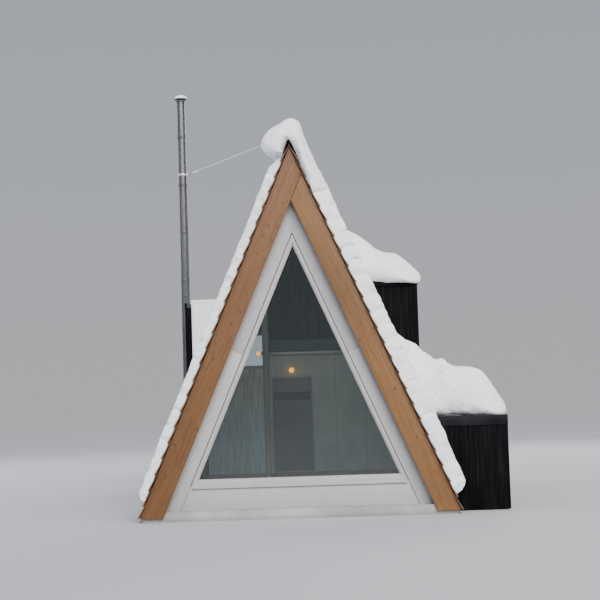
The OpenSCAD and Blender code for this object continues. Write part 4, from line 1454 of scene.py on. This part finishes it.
def spaced(start, end, edges=(), step=snow["step"], fine=snow["fine"]):
    # places from start to end, closer together near the edges
    marks = sorted({start, end, *[edge for edge in edges if start < edge < end]})
    result = [start]
    for low, high in zip(marks, marks[1:]):
        run = []
        place = low
        while place < high - fine * 0.6:
            run.append(place)
            near = min(place - low, high - place)
            place += min(fine + near * 0.13, step)
        stretch = (high - low) / (run[-1] + fine - low) if len(run) > 1 else 1.0
        result += [low + (place - low) * stretch for place in run[1:]] + [high]
    return result


def rounded(*ends):
    # 0 at the edges and 1 inside them, from pairs of a distance and a reach
    return min(math.sqrt(1.0 - (1.0 - clamp(distance / reach)) ** 2) for distance, reach in ends)


def lumps(x, y, z, size, seed=0.0):
    return noise.noise(Vector((x / size + seed, y / size - seed, z / size + seed * 0.7)))


def clumps(x, y, z, size, seed):
    # rounded knobs that stand out of a smooth surface
    return max(0.0, lumps(x, y, z, size, seed)) ** 1.3


def crease(share, width):
    # 1 in the middle of a course and 0 away from it
    return math.exp(-((share - 0.5) / width) ** 2)


def addSheet(bm, first, second, inside, height, place, bed):
    # a closed sheet: its top follows height(a, b) and its underside lies on the bed
    part = bmesh.new()
    top, low = {}, {}
    cells = {(i, j) for i in range(len(first) - 1) for j in range(len(second) - 1)
             if inside((first[i] + first[i + 1]) / 2, (second[j] + second[j + 1]) / 2)}
    for i, j in cells:
        keys = ((i, j), (i + 1, j), (i + 1, j + 1), (i, j + 1))
        for key in keys:
            if key not in top:
                a, b = first[key[0]], second[key[1]]
                top[key] = part.verts.new(place(a, b, max(height(a, b), bed + 0.002)))
                low[key] = part.verts.new(place(a, b, bed))
        part.faces.new([top[key] for key in keys])
        part.faces.new([low[key] for key in reversed(keys)])
        for side, (di, dj) in enumerate(((0, -1), (1, 0), (0, 1), (-1, 0))):
            if (i + di, j + dj) not in cells:
                a, b = keys[side], keys[(side + 1) % 4]
                part.faces.new((top[b], top[a], low[a], low[b]))
    bmesh.ops.recalc_face_normals(part, faces=part.faces)
    joinSolid(bm, part)


def slopeHeight(u, y, side, thick, ends):
    # depth of the snow on a slope: rounded ends, creases at the shingle courses and slides
    x, z = onSlope(u, 0.0, side)
    behind = clamp((y - house["front"] - 0.12) / 0.7)
    course = (u / house["courseLength"] + lumps(x, y, z, 1.7, 3.0) * 0.7 + y * 0.1) % 1.0
    sag = (course - 0.5) * 0.024 * (0.6 + lumps(x, y, z, 0.8, 9.0)) - crease(course, 0.11) * 0.018
    track = lumps(0.0, y, u * 0.12, 0.10, 4.0) * 0.020 * (0.5 + lumps(x, y, z, 1.1, 2.0))
    swell = lumps(0.0, y, z, 1.3, 5.0) * 0.05 + lumps(0.0, y, z, 0.42, 1.0) * 0.034
    swell += clumps(x, y, z, 0.13, 2.0) * 0.034 + lumps(0.0, y, z, 0.06, 6.0) * 0.008
    lively = (0.45 + 0.75 * behind) * (1.0 if side > 0 else 0.8)
    depth = thick - snow["bed"] + (sag + swell + track) * lively + 0.012 * (1.0 - behind)
    return snow["bed"] + depth * rounded(*ends)


def edgeShift(u, t, y, front, side):
    # the front edge runs in and out: creased at the courses, knobbed between them
    near = max(0.0, 1.0 - abs(y - front) / 0.30)
    course = (u / house["courseLength"] - t * 2.2 + lumps(0.0, u, 0.0, 0.9, side) * 0.5) % 1.0
    knob = clumps(0.0, u, t * 2.0, 0.10, 3.0 + side) * 0.07 + lumps(0.0, u, t, 0.35, 5.0) * 0.03
    return (crease(course, 0.10) * 0.045 - knob + 0.012) * near * min(1.0, t / 0.07)


def footShift(u, y, lowU, side):
    # the lower edge wanders up and down
    near = clamp((u - lowU + 0.7) / 0.7)
    shift = lumps(0.0, y, 0.0, 0.9, 11.0 + side) * 0.16 + lumps(0.0, y, 0.0, 0.27, 12.0) * 0.05 - 0.035
    return shift * near ** 2


def downTo(z, more):
    # how far down the slope the height z lies
    return (house["ridge"] - z) / cosS + more


def makeSlopeSnow(name, side, endOf, ends, thick, us, breaks):
    # endOf(y) is the lower end of the snow, and ends(u, y) its rounded edges
    front, back = house["front"] - snow["over"], house["back"] + snow["over"]
    lowU = downTo(snow["foot"], 0.05)

    def height(u, y):
        free = [(lowU - u, 0.16 if side > 0 else 0.12)] if endOf(y) == lowU else []
        return slopeHeight(u, y, side, thick(u, y), [*ends(u, y - front, back - y), *free])

    def place(u, y, t):
        shift = footShift(u, y, lowU, side) if endOf(y) == lowU else 0.0
        x, z = onSlope(u + shift, t, side)
        return (x, y + edgeShift(u, t, y, front, side), z)

    bm = bmesh.new()
    addSheet(bm, us, spaced(front, back, breaks), lambda u, y: u < endOf(y), height, place, snow["bed"])
    makePiece(name, bm, snowFinish)


def makeRightSnow():
    r0, r1, top = house["rightDormer"]
    s0, s1, storeTop = house["store"]
    s0, s1 = s0 - 0.02, s1 + 0.02
    lowU, dormerU, storeU = downTo(snow["foot"], 0.05), downTo(top, 0.02), downTo(storeTop, 0.05)

    def endOf(y):
        if y < s0 or y > s1:
            return lowU
        return dormerU if r0 < y < r1 else storeU

    def ends(u, front, back):
        return (front, 0.10), (back, 0.13), (u - 0.33, 0.26)

    us = spaced(0.34, lowU, (dormerU, storeU), 0.04)
    makeSlopeSnow("snowRight", 1, endOf, ends, lambda u, y: snow["right"], us, (s0, r0, r1, s1))


def makeLeftSnow():
    l0, l1, top = house["leftDormer"]
    lowU, dormerU = downTo(snow["foot"], 0.05), downTo(top, 0.02)

    def ends(u, front, back):
        return (front, 0.07), (back, 0.09), (u - 0.12, 0.22 + 0.2 * max(0.0, 1.0 - front / 0.6))

    def thick(u, y):
        # thinner just under the ridge's overhang
        front = max(0.0, 1.0 - (y - house["front"] + snow["over"]) / 0.8)
        return snow["left"] - math.exp(-((u - 0.27) / 0.075) ** 2) * 0.055 * front

    us = spaced(0.14, lowU, (dormerU,), 0.045)
    makeSlopeSnow("snowLeft", -1, lambda y: lowU if y < l0 else dormerU, ends, thick, us, (l0,))


def smoothLine(points, count):
    # evenly spaced points along a curve through the given ones
    fine = []
    last = len(points) - 1
    for i in range(last):
        p0, p1 = Vector(points[max(i - 1, 0)]), Vector(points[i])
        p2, p3 = Vector(points[i + 1]), Vector(points[min(i + 2, last)])
        for step in range(8):
            t = step / 8
            fine.append(0.5 * (2 * p1 + (p2 - p0) * t + (2 * p0 - 5 * p1 + 4 * p2 - p3) * t * t
                               + (3 * p1 - p0 - 3 * p2 + p3) * t ** 3))
    fine.append(Vector(points[-1]))
    lengths = [0.0]
    for a, b in zip(fine, fine[1:]):
        lengths.append(lengths[-1] + (b - a).length)
    result, k = [], 0
    for i in range(count):
        want = lengths[-1] * i / (count - 1)
        while k < len(fine) - 2 and lengths[k + 1] < want:
            k += 1
        share = (want - lengths[k]) / max(lengths[k + 1] - lengths[k], 1e-9)
        result.append(fine[k].lerp(fine[k + 1], min(share, 1.0)))
    return result


def makeMass(name, look, crown, base, push=None, shift=None):
    # crown(y) and base(y) give the upper and lower lines of a section; both ends are rounded
    (y0, y1), reach, count = look["y"], look["reach"], look["count"]
    part = bmesh.new()
    rings = []
    for y in spaced(y0, y1, (), look["step"], 0.012):
        share = rounded((y - y0, reach[0]), (y1 - y, reach[1]))
        top = smoothLine(crown(y), count)
        low = smoothLine(base(y), count)
        middle = sum((top[count // 2], low[count // 2]), Vector((0.0, 0.0))) / 2
        ring = []
        for k, point in enumerate(top + low[-2:0:-1]):
            twin = k if k < count else 2 * count - 2 - k
            anchor = low[twin].lerp(top[twin], 0.45)
            point = anchor.lerp(point, 0.12 + 0.88 * share)
            point = middle.lerp(point, 0.80 + 0.20 * share)
            ring.append(part.verts.new((point.x, y, point.y)))
        rings.append(ring)
    joinRings(part, rings)
    for ring in (rings[0], rings[-1]):
        for k in range(len(ring) // 2):
            pair = dict.fromkeys((ring[k], ring[k + 1], ring[-k - 1], ring[-k]))
            if len(pair) > 2:
                part.faces.new(list(pair))
    bmesh.ops.recalc_face_normals(part, faces=part.faces)
    part.normal_update()
    for vert in part.verts:
        x, y, z = vert.co
        out = sum(lumps(x, y, z, size, seed) * depth for size, depth, seed in look["waves"])
        out += push(x, y, z) if push else 0.0
        vert.co.y += shift(x, y, z) if shift else 0.0
        vert.co += vert.normal * out
    bm = bmesh.new()
    joinSolid(bm, part)
    makePiece(name, bm, snowFinish)


# Ridge snow: down the right slope as distances down and out, and over the peak as places
ridgeSnow = {
    "slope": [(0.84, 0.03), (0.83, 0.20), (0.78, 0.25), (0.64, 0.272), (0.35, 0.282)],
    "top": [(0.262, 5.72), (0.19, 5.93), (0.135, 6.015), (0.03, 6.055), (-0.06, 6.035), (-0.16, 5.97),
            (-0.275, 5.905), (-0.385, 5.80), (-0.44, 5.68), (-0.425, 5.575), (-0.36, 5.495), (-0.27, 5.47),
            (-0.19, 5.485)],
    "y": (house["front"] - 0.16, house["back"] + 0.035),
    "reach": (0.26, 0.2),
    "count": 60,
    "step": 0.06,
    "waves": ((0.5, 0.020, 1.0), (0.17, 0.010, 2.0), (0.07, 0.004, 3.0)),
}


def makeRidgeSnow():
    def crown(y):
        behind = clamp((y - house["front"] - 0.02) / 0.55)
        lip = 1.0 - 0.46 * behind + 0.12 * behind * lumps(0, y, 0, 0.9, 4.0) + 0.05 * lumps(0, y, 0, 0.3, 8.0)
        rise = 1.0 + 0.07 * lumps(0, y, 0, 1.4, 6.0)
        longer = 1.0 + behind * (0.35 * lumps(0, y, 0, 1.1, 9.0) + 0.10 * lumps(0, y, 0, 0.35, 3.0))
        slope = [onSlope(u * longer, t) for u, t in ridgeSnow["slope"]]
        peak = house["ridge"]
        return slope + [(x * (lip if x < 0 else 1.0), peak + (z - peak) * rise) for x, z in ridgeSnow["top"]]

    def base(y):
        return [onSlope(0.80, 0.02), onSlope(0.4, 0.02), onSlope(0.13, 0.04), (0.0, 5.70),
                onSlope(0.12, 0.05, -1), onSlope(0.20, 0.045, -1)]

    def recede(x, y, z):
        # down the right slope the front face falls back to the snow there
        share = clamp((x - 0.12) / 0.30)
        fold = clumps(0.0, x + z, z * 0.6, 0.12, 4.0) * 0.06 * share
        near = max(0.0, 1.0 - (y - ridgeSnow["y"][0]) / 0.6)
        return (0.12 * share * share * (3.0 - 2.0 * share) - fold) * near

    makeMass("snowRidge", ridgeSnow, crown, base, None, recede)


# Right dormer's snow: heaped against the slope, with a bulge over the dormer's outer edge
dormerSnow = {
    "crown": [(0.50, 4.80), (0.72, 4.77), (0.87, 4.71), (1.00, 4.64), (1.11, 4.56), (1.23, 4.465),
              (1.34, 4.35), (1.45, 4.275), (1.56, 4.235), (1.68, 4.225), (1.80, 4.175), (1.90, 4.10),
              (2.00, 3.995), (2.10, 3.885), (2.135, 3.825), (2.125, 3.77), (2.05, 3.735)],
    "y": (house["rightDormer"][0] - 0.18, house["rightDormer"][1] + 0.06),
    "reach": (0.15, 0.2),
    "count": 60,
    "step": 0.05,
    "waves": ((0.5, 0.030, 5.0), (0.17, 0.012, 6.0), (0.07, 0.004, 7.0)),
}


def makeDormerSnow():
    y0, y1, top = house["rightDormer"]
    middle = (y0 + y1) / 2

    def hang(y):
        return 1.0 if y < y0 - 0.02 or y > y1 + 0.02 else 0.0

    def crown(y):
        rise = 1.0 + 0.12 * lumps(0, y, 0, 0.9, 2.0)
        side = 0.05 * lumps(0, y, 0, 0.5, 7.0) + 0.02
        drop = 0.045 * hang(y)
        return [(x + side * max(0.0, x - 0.8), top + (z - top) * rise - drop * max(0.0, (x - 1.5) / 0.5))
                for x, z in dormerSnow["crown"]]

    def base(y):
        drop = 0.03 + 0.05 * hang(y)
        return [(0.46, 4.62), (0.84, top - 0.02), (1.2, top - 0.03), (1.6, top - drop), (1.95, top - drop)]

    def wander(x, y, z):
        # the end faces bow in and out, and lean back where they climb the slope
        share = min(1.0, abs(y - middle) / (y1 - middle)) ** 4
        lean = 0.30 * clamp((z - top - 0.30) / 0.75) * (1.0 if y < middle else -1.0)
        return share * (lean + lumps(x, 0.0, z, 0.45, 3.0) * 0.05 + lumps(x, 0.0, z, 0.16, 8.0) * 0.015)

    makeMass("snowRightDormer", dormerSnow, crown, base, None, wander)


def makeLeftDormerSnow():
    # a plastered front and a thin layer on the roof
    y0, y1, top = house["leftDormer"]
    thick = snow["dormer"]
    outer, roofTop, back = house["dormerOut"] - 0.08, top + thick, y1 + 0.02
    bm = bmesh.new()

    def frontDepth(x, z):
        rough = lumps(x, 0, z, 0.4, 3.0) * 0.014 + lumps(x, 0, z, 0.12, 5.0) * 0.005
        return (thick + rough) * rounded((outer - x, 0.07), (roofTop - z, 0.08))

    def roofDepth(x, y):
        drift = max(0.0, 1.0 - (x - 0.8) / 0.4) * 0.05
        rim = rounded((outer - x, 0.06), (y - y0 + thick, 0.06), (back - y, 0.06))
        return (thick + drift + lumps(x, y, 0, 0.4, 4.0) * 0.016) * rim

    addSheet(bm, spaced(0.7, outer, (), 0.06, 0.015), spaced(0.9, roofTop, (), 0.06, 0.015),
             lambda x, z: x > faceX(z, -0.10), frontDepth, lambda x, z, t: (-x, y0 + 0.004 - t, z), -0.02)
    addSheet(bm, spaced(0.74, outer, (), 0.07, 0.015), spaced(y0 - thick, back, (), 0.07, 0.015),
             lambda x, y: True, roofDepth, lambda x, y, t: (-x, y, top + t), -0.02)
    makePiece("snowLeftDormer", bm, snowFinish)


# Store's snow: slid down from the slope above, with clumps along its upper edge
storeSnow = {
    "crown": [(1.30, 3.16), (1.45, 2.88), (1.66, 2.68), (1.86, 2.55), (2.02, 2.42), (2.16, 2.30),
              (2.30, 2.27), (2.44, 2.19), (2.60, 2.17), (2.74, 2.165), (2.86, 2.11), (2.97, 1.96),
              (3.08, 1.79), (3.17, 1.66), (3.215, 1.54), (3.20, 1.45), (3.15, 1.425)],
    "y": (house["store"][0] - 0.05, house["store"][1] + 0.05),
    "reach": (0.24, 0.24),
    "count": 84,
    "step": 0.06,
    "waves": ((0.6, 0.045, 1.5), (0.22, 0.018, 2.5), (0.08, 0.005, 3.5)),
}


def makeStoreSnow():
    y0, y1, top = house["store"]
    inner = storeSnow["crown"][0][0]

    def crown(y):
        rise = 0.16 * lumps(0, y, 0, 1.1, 3.0) * min(1.0, (y - y0 + 0.05) / 0.8)
        side = 0.035 * lumps(0, y, 0, 0.7, 5.0)
        return [(x + side * (x - inner), top + (z - top) * (1.0 + rise * min(1.0, (x - inner) * 1.5)))
                for x, z in storeSnow["crown"]]

    def base(y):
        return [(1.22, 3.05), onSlope(3.3, 0.03), onSlope(4.4, 0.03), (2.0, top - 0.02), (2.6, top - 0.02),
                (3.1, top - 0.02)]

    def slides(x, y, z):
        # tracks that run down from the slope, and the clumps
        near, front = clamp((2.75 - x) / 0.6), clamp((y0 + 0.5 - y) / 0.4)
        across, along = z * 0.45 + x * 0.9, x * 0.45 - z * 0.9
        tracks = lumps(y * (1.0 - front * 0.7), across * front, along * 0.12, 0.075, 4.0)
        tracks *= 0.018 + 0.030 * front
        knobs = clumps(x, y, z, 0.15, 7.0) * (0.05 + 0.06 * front) * clamp((z - 1.95) / 0.2)
        return (tracks + knobs) * near

    makeMass("snowStore", storeSnow, crown, base, slides)


# A pat of snow on the flue's cap: its height and width from the rim up
capSnow = {
    "rings": ((0.004, 1.0), (0.018, 1.03), (0.038, 0.97), (0.058, 0.80), (0.072, 0.52), (0.078, 0.2)),
    "sides": 40,
}


def makeFlueSnow():
    x, y, low = flue["x"] + 0.004, flue["y"], flue["top"] + flue["stand"]
    reach = flue["capRadius"] * 0.97
    bm = bmesh.new()
    rings = []
    for rise, share in capSnow["rings"]:
        ring = []
        for turn in range(capSnow["sides"]):
            angle = turn * math.tau / capSnow["sides"]
            east, north = math.cos(angle), math.sin(angle)
            out = reach * share * (1.0 + 0.08 * lumps(east, north, rise * 4, 0.8, 2.0))
            ring.append(bm.verts.new((x + east * out, y + north * out, low + rise)))
        rings.append(ring)
    joinRings(bm, rings)
    bm.faces.new(rings[-1])
    bm.faces.new(rings[0][::-1])
    makePiece("snowFlueCap", bm, snowFinish)


makeRightSnow()
makeLeftSnow()
makeRidgeSnow()
makeDormerSnow()
makeLeftDormerSnow()
makeStoreSnow()
makeFlueSnow()
print("snow made")


# Stage floor
def makeFloor():
    bm = bmesh.new()
    bmesh.ops.create_grid(bm, x_segments=1, y_segments=1, size=studio["floorSize"])
    mesh = bpy.data.meshes.new("stageFloor")
    bm.to_mesh(mesh)
    bm.free()
    floor = bpy.data.objects.new("stageFloor", mesh)
    scene.collection.objects.link(floor)
    finish = Finish("stageFloor", 0.9, 0.1)
    vector = finish.place()
    grey = studio["floorGrey"]
    share = finish.band(finish.cloud(vector, 0.05, 2.0))
    finish.wear(finish.mix(share, grey, tuple(part * 1.03 for part in grey)))
    # the far floor turns into the sky's colour, so that no horizon line shows
    x, y, z = finish.parts(vector)
    far = finish.band((x * x + y * y) ** 0.5, studio["fadeStart"], studio["fadeEnd"])
    glow = {"Color": studio["horizonColour"], "Strength": studio["skyStrength"]}
    mesh.materials.append(finish.blend(far, finish.add("ShaderNodeEmission", None, glow)))


makeFloor()
